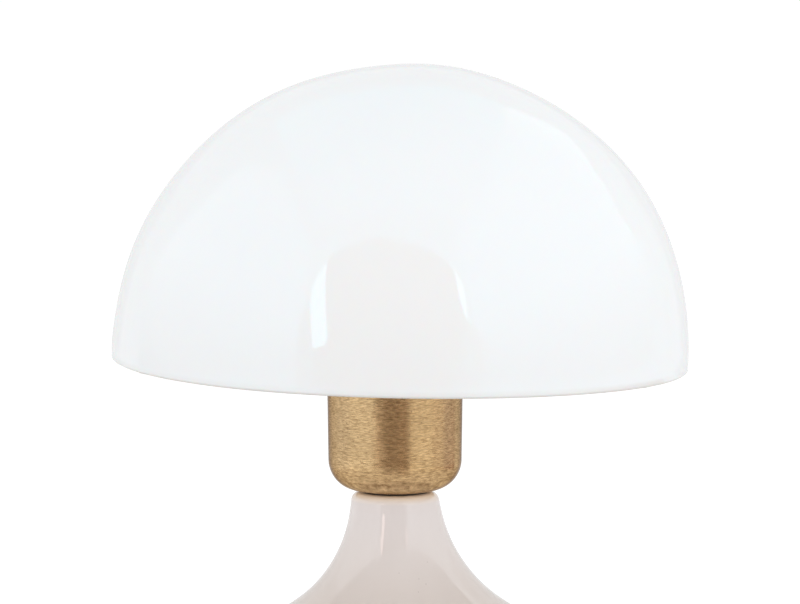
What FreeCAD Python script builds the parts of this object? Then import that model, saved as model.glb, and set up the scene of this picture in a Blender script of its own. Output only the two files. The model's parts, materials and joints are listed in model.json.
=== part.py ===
import FreeCAD, Part

import math
import os
import re

import Sketcher

# Mushroom table lamp: a white glass dome over a brass cup on a glazed ceramic base.
# Millimetres, +Z up, the front towards -Y. The origin is on the lamp's axis, on the table.

# Driving dimensions: a name, a size and what it is
DIMENSIONS = [
    # Ceramic base
    ("felt_thickness", 2.0, "felt pad under the foot"),
    ("felt_radius", 75.0, "felt pad"),
    ("felt_bevel", 0.5, "lower edge of the felt pad"),
    ("ceramic_wall", 7.0, "cast wall of the base"),
    ("neck_mouth_radius", 22.7, "where the neck's cone meets the top plane"),
    ("neck_corner", 5.0, "rounding of the neck's top edge"),
    ("neck_taper", 9.1, "slope of the neck's cone from vertical, degrees"),
    ("neck_cone_length", 8.9, "height of the cone"),
    ("neck_top_thickness", 9.0, "ceramic closed round the stem pipe"),
    ("neck_inside_taper", 1.6, "narrowing of the inside above the cone"),
    ("flare_radius", 75.8, "hollow curve under the neck"),
    ("flare_angle", 57.0, "steepest slope of the flare from vertical, degrees"),
    ("shoulder_radius", 87.5, "round curve from the flare to the belly"),
    ("belly_radius", 60.0, "round curve from the belly to the foot"),
    ("foot_angle", 45.0, "slope of the wall where it meets the foot, degrees"),
    ("foot_corner", 3.0, "rounding of the foot's edge"),
    ("recess_radius", 68.0, "recess under the base"),
    ("recess_depth", 10.5, "recess under the base"),
    ("access_radius", 45.0, "opening in the ceramic floor"),
    ("stem_hole_radius", 5.4, "hole for the stem pipe"),
    # Cord inlet
    ("cord_hole_radius", 6.3, "hole for the cord bush"),
    ("cord_hole_height", 32.0, "cord hole above the table"),
    ("cord_bore_radius", 3.5, "bore of the cord bush"),
    ("bush_outer_radius", 9.5, "outer flange of the cord bush"),
    ("bush_inner_radius", 8.5, "inner flange of the cord bush"),
    ("bush_outer_reach", 2.6, "outer flange, out from the wall"),
    ("bush_inner_reach", 3.4, "inner flange, in from the wall"),
    ("bush_outer_bevel", 1.6, "edge of the outer flange"),
    ("bush_inner_bevel", 1.2, "edge of the inner flange"),
    ("bush_mouth_bevel", 0.8, "mouth of the bore"),
    ("bush_root", 3.0, "flange blanks run this far into the wall, which cuts them"),
    ("bush_gap", 0.1, "space between the bush and its hole"),
    # Stem and what it clamps
    ("stem_radius", 4.85, "stem pipe, at the middle of its thread"),
    ("stem_bore_radius", 3.5, "bore of the stem pipe"),
    ("pipe_bevel", 0.6, "ends of the stem pipe"),
    ("pipe_lift", 0.6, "lower end of the pipe above the felt"),
    ("pipe_rise", 1.0, "upper end of the pipe above the holder's floor"),
    ("lead_slot_lift", 8.0, "slot for the leads above the ceramic floor"),
    ("lead_slot_length", 18.0, "slot for the leads"),
    ("lead_slot_width", 6.0, "slot for the leads"),
    ("thread_gap", 0.05, "space between the stem pipe and what screws on it"),
    ("washer_gap", 0.3, "space between the stem pipe and the washers"),
    ("plate_radius", 66.5, "steel bottom plate"),
    ("plate_thickness", 2.5, "steel bottom plate"),
    ("seal_thickness", 1.5, "rubber ring on the bottom plate"),
    ("seal_inner_radius", 52.0, "rubber ring on the bottom plate"),
    ("washer_radius", 11.0, "plain washers"),
    ("washer_thickness", 1.5, "plain washers"),
    ("lock_washer_radius", 8.4, "toothed washers"),
    ("lock_washer_thickness", 1.0, "toothed washers"),
    ("tooth_notch_radius", 0.9, "notches between the teeth"),
    ("tooth_count", 12, "teeth of a toothed washer"),
    ("nut_flats", 14.0, "across the flats of the nuts"),
    ("nut_thickness", 3.2, "nuts"),
    ("nut_corner_cut", 2.0, "width of the cone that turns off a nut's corners"),
    ("gasket_radius", 17.4, "neck gasket"),
    ("gasket_thickness", 1.2, "neck gasket"),
    # Brass cup
    ("cup_top_radius", 36.2, "outside, at the top"),
    ("cup_low_radius", 35.4, "outside, where the bottom corner starts"),
    ("cup_corner", 16.2, "outside rounding of the bottom corner"),
    ("cup_wall", 1.2, "spun brass"),
    ("cup_height", 72.0, "whole cup"),
    ("cup_edge_bevel", 0.5, "upper edge of the cup"),
    # Lampholder's cap
    ("holder_lift", 19.0, "holder's underside above the cup's underside"),
    ("cap_neck_radius", 8.0, "threaded neck of the holder's cap"),
    ("cap_neck_length", 8.0, "threaded neck of the holder's cap"),
    ("cap_radius", 19.0, "holder's cap"),
    ("cap_length", 26.0, "holder's cap with its neck"),
    ("cap_floor_thickness", 2.0, "floor of the cap"),
    ("cap_cone_inset", 5.0, "cone from the cap's floor to its wall, outside"),
    ("cap_cone_height", 6.0, "the same cone"),
    ("hollow_cone_inset", 4.0, "cone from the cap's floor to its wall, inside"),
    ("hollow_cone_height", 6.5, "the same cone"),
    ("holder_wall", 2.0, "phenolic walls"),
    ("grub_height", 3.0, "set screw above the holder's underside"),
    ("grub_radius", 1.2, "set screw"),
    ("grub_gap", 0.05, "space between the set screw and its hole"),
    ("grub_point_gap", 0.1, "space between the set screw and the stem pipe"),
    ("grub_bevel", 0.5, "point of the set screw"),
    ("grub_inset", 0.2, "set screw below the neck's surface"),
    ("grub_socket_radius", 0.6, "driving hole of the set screw"),
    ("grub_socket_depth", 1.2, "driving hole of the set screw"),
    # Lampholder's body and core
    ("barrel_radius", 19.8, "threaded barrel of the holder's body"),
    ("barrel_bore_radius", 16.6, "inside of the barrel"),
    ("barrel_length", 37.0, "holder's body"),
    ("barrel_bevel", 1.0, "upper edge of the barrel"),
    ("mouth_gap", 2.0, "space between the barrel's mouth and the bulb's cap"),
    ("mouth_lip", 2.5, "thickness of the barrel's mouth"),
    ("mouth_bevel", 0.6, "edge of the barrel's mouth"),
    ("holder_flange_radius", 23.0, "flange that carries the shade carrier"),
    ("holder_flange_thickness", 2.5, "flange"),
    ("core_drop", 4.0, "porcelain core below the cap's upper edge"),
    ("core_step", 0.5, "core's shoulder on either side of that edge"),
    ("core_height", 8.0, "core above the cap's upper edge"),
    ("core_floor", 1.5, "core's floor above the cap's upper edge"),
    ("core_floor_radius", 9.0, "core's floor"),
    ("core_gap", 0.2, "space between the core and the phenolic walls"),
    ("shell_seat", 3.0, "seat of the screw shell above the cap's upper edge"),
    ("shell_gap", 0.1, "space round the screw shell"),
    ("post_reach", 10.0, "terminal screws from the axis"),
    ("post_radius", 1.9, "terminal screws' shanks"),
    ("post_hole_radius", 2.0, "holes for the terminal screws"),
    ("post_rise", 1.0, "shanks' ends below the cap's upper edge"),
    ("post_head_low", 8.4, "heads' undersides below the cap's upper edge"),
    ("post_head_height", 2.0, "terminal screws' heads"),
    ("post_head_radius", 3.2, "terminal screws' heads"),
    ("head_bevel", 0.3, "edges of screw heads and ends"),
    ("slot_width", 0.8, "slots of the screws"),
    ("slot_depth", 0.9, "slots of the screws"),
    ("tongue_back", 7.0, "spring tongue's fold from the axis"),
    ("tongue_front", 5.0, "foot of the spring tongue from the axis"),
    ("tongue_flat", 2.0, "half the length of the flat under the bulb's tip"),
    ("tongue_end", 4.6, "free end of the tongue from the axis"),
    ("tongue_end_drop", 1.2, "free end below the flat"),
    ("tongue_sheet", 0.6, "sheet of the tongue"),
    ("tongue_width", 6.0, "spring tongue"),
    # Screw thread of the bulb and its socket
    ("thread_pitch", 3.629, "seven turns to the inch"),
    ("thread_tube", 1.0, "radius of the rounded ridge"),
    ("thread_lead_in", 2.2, "start of the ridge above the cap's lower end"),
    ("cap_core_radius", 12.4, "bulb cap between its ridges"),
    ("cap_ridge_radius", 12.05, "centre of the cap's ridge"),
    ("cap_turns", 4.2, "turns of the cap's ridge"),
    ("shell_bore_radius", 13.9, "socket shell between its ridges"),
    ("shell_ridge_radius", 13.65, "centre of the shell's ridge"),
    ("shell_turns", 3.0, "turns of the shell's ridge"),
    ("sheet_wall", 0.5, "drawn sheet of the cap and the shell"),
    # Bulb
    ("bulb_length", 110.0, "whole bulb"),
    ("bulb_rise", 5.5, "bulb's tip above the holder cap's upper edge"),
    ("globe_radius", 30.0, "light-giving globe"),
    ("globe_wall", 1.4, "light-giving globe"),
    ("collar_top_radius", 25.0, "where the collar meets the globe"),
    ("collar_low_radius", 13.6, "where the collar meets the cap"),
    ("collar_bore_radius", 10.2, "opening of the collar's floor"),
    ("collar_wall", 1.6, "collar"),
    ("collar_curve", 58.0, "hollow curve of the collar"),
    ("collar_straight", 3.0, "straight foot of the collar"),
    ("collar_floor", 4.0, "thickness of the collar's floor"),
    ("cap_height", 22.5, "screw cap's sheet"),
    ("cap_end_radius", 7.5, "opening in the cap's lower end"),
    ("cap_end_bevel", 1.5, "cap's lower edge"),
    ("tip_length", 4.2, "from the tip to the cap's sheet"),
    ("tip_flat_radius", 1.6, "flat of the tip"),
    ("tip_radius", 4.2, "solder button"),
    ("tip_height", 1.3, "solder button"),
    ("tip_pin_radius", 2.9, "pin above the button"),
    ("tip_pin_rise", 1.6, "pin above the cap's lower end"),
    ("tip_gap", 0.05, "space between the tongue and the tip"),
    ("cone_bore_radius", 3.0, "bore of the insulating cone"),
    ("cone_low_radius", 4.6, "lower end of the cone"),
    ("cone_high_radius", 9.0, "upper end of the cone"),
    ("cone_plug_radius", 7.3, "plug of the cone in the cap"),
    ("cone_plug_height", 1.2, "plug of the cone in the cap"),
    ("cone_gap", 0.1, "space between the cone and the button"),
    ("cone_cap_gap", 0.2, "space between the cone and the cap"),
    ("board_drop", 2.2, "light board's underside below the globe"),
    ("board_thickness", 1.6, "light board"),
    ("board_inset", 2.4, "light board inside the collar"),
    ("chip_reach", 12.0, "light chips from the axis"),
    ("chip_size", 2.8, "light chips"),
    ("chip_height", 0.7, "light chips"),
    ("chip_count", 10, "light chips"),
    ("driver_width", 17.0, "driver board"),
    ("driver_thickness", 1.2, "driver board"),
    ("driver_drop", 12.0, "driver board below the collar"),
    ("driver_top_gap", 4.0, "driver board's top below the globe"),
    ("capacitor_reach", 3.0, "capacitor from the axis"),
    ("capacitor_lift", 8.0, "capacitor above the collar's foot"),
    ("capacitor_radius", 3.6, "capacitor"),
    ("capacitor_length", 6.0, "capacitor"),
    ("coil_reach", 3.6, "coil from the axis"),
    ("coil_lift", 17.0, "coil above the collar's foot"),
    ("coil_radius", 3.2, "coil"),
    ("coil_length", 5.0, "coil"),
    # Glass shade
    ("shade_radius", 153.0, "outside of the dome"),
    ("shade_wall", 4.0, "blown glass"),
    ("shade_centre_rise", 8.4, "centre of the sphere above the rim plane"),
    ("rim_lift", 66.5, "rim plane above the cup's underside, on the dome's axis"),
    ("rim_bevel", 1.7, "ground bevel inside the rim"),
    ("rim_round", 1.5, "rounding outside the rim"),
    ("shade_lean", 1.3, "lean of the dome towards +X, degrees"),
    ("shade_offset", 1.15, "dome sits this far off the lamp's axis, towards +X"),
    # Shade carrier
    ("carrier_sheet", 2.0, "steel sheet"),
    ("carrier_hole_radius", 20.1, "hole round the barrel"),
    ("carrier_rim_radius", 37.5, "ring on the cup's edge"),
    ("vent_inner_radius", 27.0, "vent slots"),
    ("vent_outer_radius", 33.0, "vent slots"),
    ("vent_inner_angle", 22.0, "half the span of a slot's inner side, degrees"),
    ("vent_outer_angle", 24.0, "half the span of a slot's outer side, degrees"),
    ("vent_count", 6, "vent slots"),
    ("arm_width", 14.0, "carrier arms"),
    ("arm_root", 2.0, "arms run this far into the ring"),
    ("arm_bend_reach", 132.0, "where an arm bends down"),
    ("arm_bend_ease", 0.7, "offset of the bend between an arm's two faces"),
    ("arm_tip_reach", 143.5, "end of an arm"),
    ("arm_seat", 5.0, "level end of an arm"),
    ("arm_tip_lift", 2.2, "underside of an arm's end above the rim plane"),
    ("boot_width", 17.0, "silicone boots"),
    ("boot_grip", 4.6, "boot over the arm's end"),
    ("boot_cover", 1.7, "silicone above the arm"),
    ("boot_rise", 1.0, "boot above the rim's bevel"),
    ("boot_gap", 0.3, "space between a boot and the glass"),
    ("shade_ring_radius", 25.5, "ring nut over the carrier"),
    ("shade_ring_height", 6.0, "ring nut over the carrier"),
    ("shade_ring_gap", 0.1, "space between the ring nut and the barrel"),
    ("shade_ring_flange", 2.0, "flange of the ring nut"),
    ("grip_inset", 2.5, "gripped part inside the flange"),
    ("grip_step", 0.6, "slope from the flange to the gripped part"),
    ("grip_bevel", 0.8, "upper edge of the ring nut"),
    ("grip_radius", 1.6, "finger grips"),
    ("grip_count", 18, "finger grips"),
    # Wiring
    ("block_length", 24.0, "terminal block, across the lamp"),
    ("block_depth", 15.0, "terminal block, along Y"),
    ("block_height", 12.0, "terminal block"),
    ("block_centre", 25.0, "terminal block behind the axis"),
    ("pole_spacing", 12.0, "between the block's two poles"),
    ("way_height", 4.5, "wire ways above the plate"),
    ("way_radius", 1.9, "wire ways"),
    ("well_reach", 4.0, "screw wells from the block's middle"),
    ("well_radius", 2.1, "screw wells"),
    ("well_floor", 6.6, "floor of the wells above the plate"),
    ("clamp_screw_radius", 1.8, "screws in the wells"),
    ("clamp_screw_height", 3.4, "screws in the wells"),
    ("clamp_screw_lift", 0.1, "screws above the wells' floor"),
    ("block_screw_radius", 1.5, "screw that holds the block"),
    ("block_screw_gap", 0.1, "space round that screw"),
    ("block_screw_end", 0.6, "that screw below the plate"),
    ("block_head_radius", 2.9, "its head"),
    ("block_head_height", 2.0, "its head"),
    ("block_head_flat", 1.6, "flat on its head"),
    ("lead_radius", 1.1, "insulated lead"),
    ("lead_spacing", 2.7, "between the two leads inside the pipe"),
    # Making
    ("overcut", 1.0, "how far a cutting sketch runs past the piece"),
]

# The least volume that a cut has to remove
LEAST_CUT = 0.01

# A coordinate nearer to an axis than this lies on it
ON_AXIS = 1e-9

SIZES = {name: size for name, size, meaning in DIMENSIONS}

document = FreeCAD.newDocument("mushroom_table_lamp")
sheet = document.addObject("Spreadsheet::Sheet", "Sizes")
for row, (name, size, meaning) in enumerate(DIMENSIONS, start=1):
    sheet.set(f"A{row}", name)
    sheet.set(f"B{row}", str(size))
    sheet.set(f"C{row}", meaning)
    sheet.setAlias(f"B{row}", name)
document.recompute()


# Expressions

def bound(text):
    """The expression with each dimension's name pointed at its cell."""
    return re.sub(r"[a-z][a-z_]+", lambda word: cell_of(word.group()), str(text))


def cell_of(word):
    return "Sizes." + word if word in SIZES else word


def number(text):
    """What an expression comes to."""
    result = sheet.evalExpression(bound(text))
    return float(getattr(result, "Value", result))


def degrees(name):
    return f"({name} * 1deg)"


# Heights and radii that follow from the driving dimensions

TAPER = degrees("neck_taper")
STEEP = degrees("flare_angle")
FOOT = degrees("foot_angle")
LEAN = degrees("shade_lean")

FOOT_BOTTOM = "felt_thickness"
BELLY_HEIGHT = f"({FOOT_BOTTOM} + foot_corner * (1 - cos{FOOT}) + belly_radius * sin{FOOT})"
SHOULDER_START = f"({BELLY_HEIGHT} + shoulder_radius * sin{STEEP})"
CONE_LOW = f"({SHOULDER_START} + flare_radius * (sin{STEEP} - sin{TAPER}))"
NECK_TOP = f"({CONE_LOW} + neck_cone_length)"

CONE_LOW_RADIUS = f"(neck_mouth_radius + neck_cone_length * tan{TAPER})"
SHOULDER_START_RADIUS = f"({CONE_LOW_RADIUS} + flare_radius * (cos{TAPER} - cos{STEEP}))"
BELLY_MAX_RADIUS = f"({SHOULDER_START_RADIUS} + shoulder_radius * (1 - cos{STEEP}))"
BELLY_CENTRE_RADIUS = f"({BELLY_MAX_RADIUS} - belly_radius)"

RECESS_TOP = f"({FOOT_BOTTOM} + recess_depth)"
FLOOR_TOP = f"({RECESS_TOP} + ceramic_wall)"
PLATE_TOP = f"({RECESS_TOP} - seal_thickness)"
PLATE_BOTTOM = f"({PLATE_TOP} - plate_thickness)"

CUP_BOTTOM = f"({NECK_TOP} + gasket_thickness)"
CUP_FLOOR = f"({CUP_BOTTOM} + cup_wall)"
CUP_TOP = f"({CUP_BOTTOM} + cup_height)"
CARRIER_TOP = f"({CUP_TOP} + carrier_sheet)"

HOLDER_BOTTOM = f"({CUP_BOTTOM} + holder_lift)"
CAP_FLOOR = f"({HOLDER_BOTTOM} + cap_neck_length)"
CAP_TOP = f"({HOLDER_BOTTOM} + cap_length)"
HOLDER_TOP = f"({CAP_TOP} + barrel_length)"
PIPE_TOP = f"({CAP_FLOOR} + pipe_rise)"
PIPE_BOTTOM = f"({FOOT_BOTTOM} + pipe_lift)"

TIP_BOTTOM = f"({CAP_TOP} + bulb_rise)"
CAP_SHEET_LOW = f"({TIP_BOTTOM} + tip_length)"
COLLAR_LOW = f"({CAP_SHEET_LOW} + cap_height)"
GLOBE_TOP = f"({TIP_BOTTOM} + bulb_length)"
GLOBE_CENTRE = f"({GLOBE_TOP} - globe_radius)"
COLLAR_TOP = f"({GLOBE_CENTRE} - sqrt(globe_radius ^ 2 - collar_top_radius ^ 2))"
THREAD_START = f"({CAP_SHEET_LOW} + thread_lead_in)"

BEVEL_REACH = "sqrt((shade_radius - shade_wall) ^ 2 - (shade_centre_rise - rim_bevel) ^ 2)"

# The two ends of a pair
SIDES = (1, -1)


# Ways of making a piece

def origin_feature(body, role):
    """A body's own plane or axis."""
    return [feature for feature in body.Origin.OriginFeatures if feature.Role == role][0]


def new_body(label):
    body = document.addObject("PartDesign::Body", label)
    body.Label = label
    return body


def new_sketch(body, role="XZ_Plane", height=None, turn=0.0):
    """A sketch on an origin plane of its body, raised to a height or turned round Z."""
    drawing = body.newObject("Sketcher::SketchObject", body.Name + "_outline")
    drawing.AttachmentSupport = (origin_feature(body, role), [""])
    drawing.MapMode = "FlatFace"
    # Local Y of the XZ plane is the lamp's Z
    turned_round = FreeCAD.Rotation(FreeCAD.Vector(0, 1, 0), turn)
    drawing.AttachmentOffset = FreeCAD.Placement(FreeCAD.Vector(0, 0, 0), turned_round)
    if height is not None:
        drawing.setExpression("AttachmentOffset.Base.z", bound(height))
    return drawing


def arc_between(start, end, radius, centre_left):
    """The shorter arc from start to end, with its centre on the left or the right of the way."""
    chord = end.sub(start)
    left = FreeCAD.Vector(-chord.y, chord.x, 0).normalize()
    offset = math.sqrt(max(radius ** 2 - (chord.Length / 2) ** 2, 0))
    side = 1 if centre_left else -1
    centre = start.add(end).multiply(0.5).add(left.multiply(side * offset))
    first, last = (start, end) if centre_left else (end, start)
    angles = [math.atan2(point.y - centre.y, point.x - centre.x) for point in (first, last)]
    circle = Part.Circle(centre, FreeCAD.Vector(0, 0, 1), radius)
    return Part.ArcOfCircle(circle, angles[0], angles[1])


def fix_point(drawing, edge, end, x_text, y_text):
    """Ties an edge's end to its two expressions."""
    for kind, text, axis in (("DistanceX", x_text, -2), ("DistanceY", y_text, -1)):
        if abs(number(text)) < ON_AXIS:
            drawing.addConstraint(Sketcher.Constraint("PointOnObject", edge, end, axis))
        else:
            rule = drawing.addConstraint(
                Sketcher.Constraint(kind, -1, 1, edge, end, number(text)))
            drawing.setExpression(f"Constraints[{rule}]", bound(text))


def draw_outline(drawing, corners):
    """A closed outline. A corner is (x, y), or (x, y, radius, side) where an arc leaves it.

    Each x, y and radius is an expression. The side, left or right, is where the arc's centre is.
    """
    points = [FreeCAD.Vector(number(corner[0]), number(corner[1]), 0) for corner in corners]
    edges = []
    for place, corner in enumerate(corners):
        start, end = points[place], points[(place + 1) % len(points)]
        if len(corner) == 2:
            edges.append((drawing.addGeometry(Part.LineSegment(start, end)), 1, 2))
            continue
        centre_left = corner[3] == "left"
        edge = drawing.addGeometry(arc_between(start, end, number(corner[2]), centre_left))
        edges.append((edge, 1, 2) if centre_left else (edge, 2, 1))
    for place, (edge, first, last) in enumerate(edges):
        following = edges[(place + 1) % len(edges)]
        drawing.addConstraint(
            Sketcher.Constraint("Coincident", edge, last, following[0], following[1]))
    for (edge, first, last), corner in zip(edges, corners):
        fix_point(drawing, edge, first, corner[0], corner[1])
        if len(corner) == 4:
            rule = drawing.addConstraint(Sketcher.Constraint("Radius", edge, number(corner[2])))
            drawing.setExpression(f"Constraints[{rule}]", bound(corner[2]))


def draw_box(drawing, width, low, high):
    """A rectangle across the vertical axis."""
    draw_outline(drawing, [
        (f"0 - {width} / 2", low),
        (f"{width} / 2", low),
        (f"{width} / 2", high),
        (f"0 - {width} / 2", high),
    ])


def draw_circle(drawing, x_text, y_text, radius_text):
    centre = FreeCAD.Vector(number(x_text), number(y_text), 0)
    circle = Part.Circle(centre, FreeCAD.Vector(0, 0, 1), number(radius_text))
    edge = drawing.addGeometry(circle)
    fix_point(drawing, edge, 3, x_text, y_text)
    rule = drawing.addConstraint(Sketcher.Constraint("Radius", edge, number(radius_text)))
    drawing.setExpression(f"Constraints[{rule}]", bound(radius_text))


def revolve(body, corners):
    drawing = new_sketch(body)
    draw_outline(drawing, corners)
    feature = body.newObject("PartDesign::Revolution", body.Name + "_turned")
    feature.Profile = drawing
    feature.ReferenceAxis = (drawing, ["V_Axis"])
    feature.Angle = 360
    document.recompute()
    return feature


def turned(label, corners):
    """A piece of revolution about its own Z axis, from its half section."""
    body = new_body(label)
    revolve(body, corners)
    return body


def ring_section(inner, outer, low, high):
    return [(inner, low), (outer, low), (outer, high), (inner, high)]


def ring(label, inner, outer, low, high):
    return turned(label, ring_section(inner, outer, low, high))


def pad(body, drawing, length, midplane=False):
    feature = body.newObject("PartDesign::Pad", body.Name + "_pad")
    feature.Profile = drawing
    feature.Midplane = midplane
    feature.setExpression("Length", bound(length))
    document.recompute()
    return feature


def pocket(body, drawing, length, midplane=False, flip=False):
    """Cuts a sketch out of the body, and makes sure that it removes something."""
    before = body.Shape.Volume
    feature = body.newObject("PartDesign::Pocket", body.Name + "_pocket")
    feature.Profile = drawing
    feature.Midplane = midplane
    feature.Reversed = flip
    feature.setExpression("Length", bound(length))
    document.recompute()
    if feature.Shape.Volume > before - LEAST_CUT:
        raise ValueError(f"{body.Label}: a pocket removes nothing")
    return feature


def groove(body, corners):
    """Turns a section out of the body, and makes sure that it removes something."""
    before = body.Shape.Volume
    drawing = new_sketch(body)
    draw_outline(drawing, corners)
    feature = body.newObject("PartDesign::Groove", body.Name + "_groove")
    feature.Profile = drawing
    feature.ReferenceAxis = (drawing, ["V_Axis"])
    feature.Angle = 360
    document.recompute()
    if feature.Shape.Volume > before - LEAST_CUT:
        raise ValueError(f"{body.Label}: a groove removes nothing")
    return feature


def repeat_round(body, feature, count):
    """Repeats a feature evenly round Z, as often as the named count says."""
    pattern = body.newObject("PartDesign::PolarPattern", body.Name + "_round")
    pattern.Originals = [feature]
    pattern.Axis = (origin_feature(body, "Z_Axis"), [""])
    pattern.Angle = 360
    pattern.Occurrences = int(number(count))
    body.Tip = pattern
    document.recompute()
    return pattern


def hex_nut(label, low):
    """A hexagon nut with turned corners, on the stem's thread."""
    body = new_body(label)
    drawing = new_sketch(body, "XY_Plane", low)
    corner_reach = "(nut_flats / 2 / cos(30deg))"
    draw_outline(drawing, [(f"{corner_reach} * cos({angle}deg)", f"{corner_reach} * sin({angle}deg)")
                           for angle in range(30, 390, 60)])
    draw_circle(drawing, "0", "0", "stem_radius + thread_gap")
    pad(body, drawing, "nut_thickness")
    # Both end faces lose their corners at 30 degrees
    high = f"{low} + nut_thickness"
    for face, inward in ((low, 1), (high, -1)):
        groove(body, [
            ("nut_flats / 2", face),
            ("nut_flats / 2 + nut_corner_cut", face),
            ("nut_flats / 2 + nut_corner_cut", f"{face} + {inward} * nut_corner_cut * tan(30deg)"),
        ])
    return body


def toothed_washer(label, low):
    body = ring(label, "stem_radius + thread_gap", "lock_washer_radius", low,
                f"{low} + lock_washer_thickness")
    drawing = new_sketch(body, "XY_Plane", low)
    draw_circle(drawing, "lock_washer_radius", "0", "tooth_notch_radius")
    notch = pocket(body, drawing, "lock_washer_thickness", flip=True)
    repeat_round(body, notch, "tooth_count")
    return body


def thread_ridge(name, radius, low, turns):
    """A rounded right-hand ridge along a helix that starts at +X."""
    helix = document.addObject("Part::Helix", name + "_helix")
    helix.setExpression("Pitch", bound("thread_pitch"))
    helix.setExpression("Height", bound(f"thread_pitch * {turns}"))
    helix.setExpression("Radius", bound(radius))
    helix.setExpression("Placement.Base.z", bound(low))
    section = document.addObject("Part::Circle", name + "_section")
    section.setExpression("Radius", bound("thread_tube"))
    upright = FreeCAD.Rotation(FreeCAD.Vector(1, 0, 0), 90)
    section.Placement = FreeCAD.Placement(FreeCAD.Vector(number(radius), 0, number(low)), upright)
    section.setExpression("Placement.Base.x", bound(radius))
    section.setExpression("Placement.Base.z", bound(low))
    document.recompute()
    ridge = document.addObject("Part::Sweep", name + "_ridge")
    ridge.Sections = [section]
    ridge.Spine = (helix, ["Edge1"])
    ridge.Solid = True
    ridge.Frenet = True
    document.recompute()
    run = math.hypot(2 * math.pi * number(radius), number("thread_pitch")) * number(turns)
    expected = math.pi * number("thread_tube") ** 2 * run
    print(f"{name}: ridge volume {ridge.Shape.Volume:.1f}, section times length {expected:.1f}")
    return ridge


def joined(label, *pieces):
    fusion = document.addObject("Part::MultiFuse", label)
    fusion.Label = label
    fusion.Shapes = list(pieces)
    fusion.Refine = False
    document.recompute()
    return fusion


def group(label, pieces):
    """Several separate solids of one kind, kept as one node."""
    together = document.addObject("Part::Compound", label)
    together.Label = label
    together.Links = list(pieces)
    document.recompute()
    return together


def rounded_wire(points, bend_share=0.45):
    """Straight runs joined by tangent arcs, each as large as its two runs allow."""
    edges = []
    start = points[0]
    for before, corner, after in zip(points, points[1:], points[2:]):
        incoming = corner.sub(before)
        outgoing = after.sub(corner)
        turn = incoming.getAngle(outgoing)
        reach = bend_share * min(incoming.Length, outgoing.Length)
        radius = reach / math.tan(turn / 2)
        first = corner.sub(incoming.normalize().multiply(reach))
        last = corner.add(outgoing.normalize().multiply(reach))
        inward = first.add(last).multiply(0.5).sub(corner).normalize()
        middle = corner.add(inward.multiply(radius / math.cos(turn / 2) - radius))
        edges.append(Part.LineSegment(start, first).toShape())
        edges.append(Part.Arc(first, middle, last).toShape())
        start = last
    edges.append(Part.LineSegment(start, points[-1]).toShape())
    return Part.Wire(edges)


def lead(label, points):
    """An insulated lead along its route."""
    wire = rounded_wire([FreeCAD.Vector(*[number(text) for text in point]) for point in points])
    first = wire.Edges[0]
    direction = first.tangentAt(first.FirstParameter)
    section = Part.Circle(first.valueAt(first.FirstParameter), direction, number("lead_radius"))
    shell = Part.BRepOffsetAPI.MakePipeShell(wire)
    shell.add(Part.Wire([section.toShape()]))
    shell.build()
    shell.makeSolid()
    piece = document.addObject("Part::Feature", label)
    piece.Label = label
    piece.Shape = shell.shape()
    expected = math.pi * number("lead_radius") ** 2 * wire.Length
    print(f"{label}: volume {piece.Shape.Volume:.1f}, section times length {expected:.1f}")
    return piece


# Ceramic base and what is under it

def one_wall_in(radius, height, slope):
    """A point of the inside face, one wall in from a point of the outside face."""
    return (f"{radius} - ceramic_wall * cos{slope}", f"{height} - ceramic_wall * sin{slope}")


def ceramic_base():
    """Slip-cast body: neck, hollow flare, round shoulder and belly, foot, floor and recess."""
    flat_radius = f"(neck_mouth_radius + neck_corner * (tan{TAPER} - 1 / cos{TAPER}))"
    corner_end = (f"{flat_radius} + neck_corner * cos{TAPER}",
                  f"{NECK_TOP} - neck_corner * (1 - sin{TAPER})")
    foot_start = (f"{BELLY_CENTRE_RADIUS} + belly_radius * cos{FOOT}",
                  f"{BELLY_HEIGHT} - belly_radius * sin{FOOT}")
    foot_flat = f"{BELLY_CENTRE_RADIUS} + (belly_radius - foot_corner) * cos{FOOT}"
    inner_belly = "(belly_radius - ceramic_wall)"
    floor_reach = f"{BELLY_CENTRE_RADIUS} + sqrt({inner_belly} ^ 2 - ({BELLY_HEIGHT} - {FLOOR_TOP}) ^ 2)"
    cone_inside = one_wall_in(CONE_LOW_RADIUS, CONE_LOW, TAPER)
    shoulder_inside = one_wall_in(SHOULDER_START_RADIUS, SHOULDER_START, STEEP)
    ceiling = f"{NECK_TOP} - neck_top_thickness"
    body = new_body("ceramic_base")
    revolve(body, [
        ("stem_hole_radius", NECK_TOP),
        (flat_radius, NECK_TOP, "neck_corner", "right"),
        corner_end,
        (CONE_LOW_RADIUS, CONE_LOW, "flare_radius", "left"),
        (SHOULDER_START_RADIUS, SHOULDER_START, "shoulder_radius", "right"),
        (BELLY_MAX_RADIUS, BELLY_HEIGHT, "belly_radius", "right"),
        foot_start + ("foot_corner", "right"),
        (foot_flat, FOOT_BOTTOM),
        ("recess_radius", FOOT_BOTTOM),
        ("recess_radius", RECESS_TOP),
        ("access_radius", RECESS_TOP),
        ("access_radius", FLOOR_TOP),
        (floor_reach, FLOOR_TOP, inner_belly, "left"),
        (f"{BELLY_MAX_RADIUS} - ceramic_wall", BELLY_HEIGHT, "shoulder_radius - ceramic_wall", "left"),
        shoulder_inside + ("flare_radius + ceramic_wall", "right"),
        cone_inside,
        (f"{cone_inside[0]} - neck_inside_taper", ceiling),
        ("stem_hole_radius", ceiling),
    ])
    drawing = new_sketch(body, "XZ_Plane")
    draw_circle(drawing, "0", "cord_hole_height", "cord_hole_radius")
    pocket(body, drawing, BELLY_MAX_RADIUS)
    return body


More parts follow.
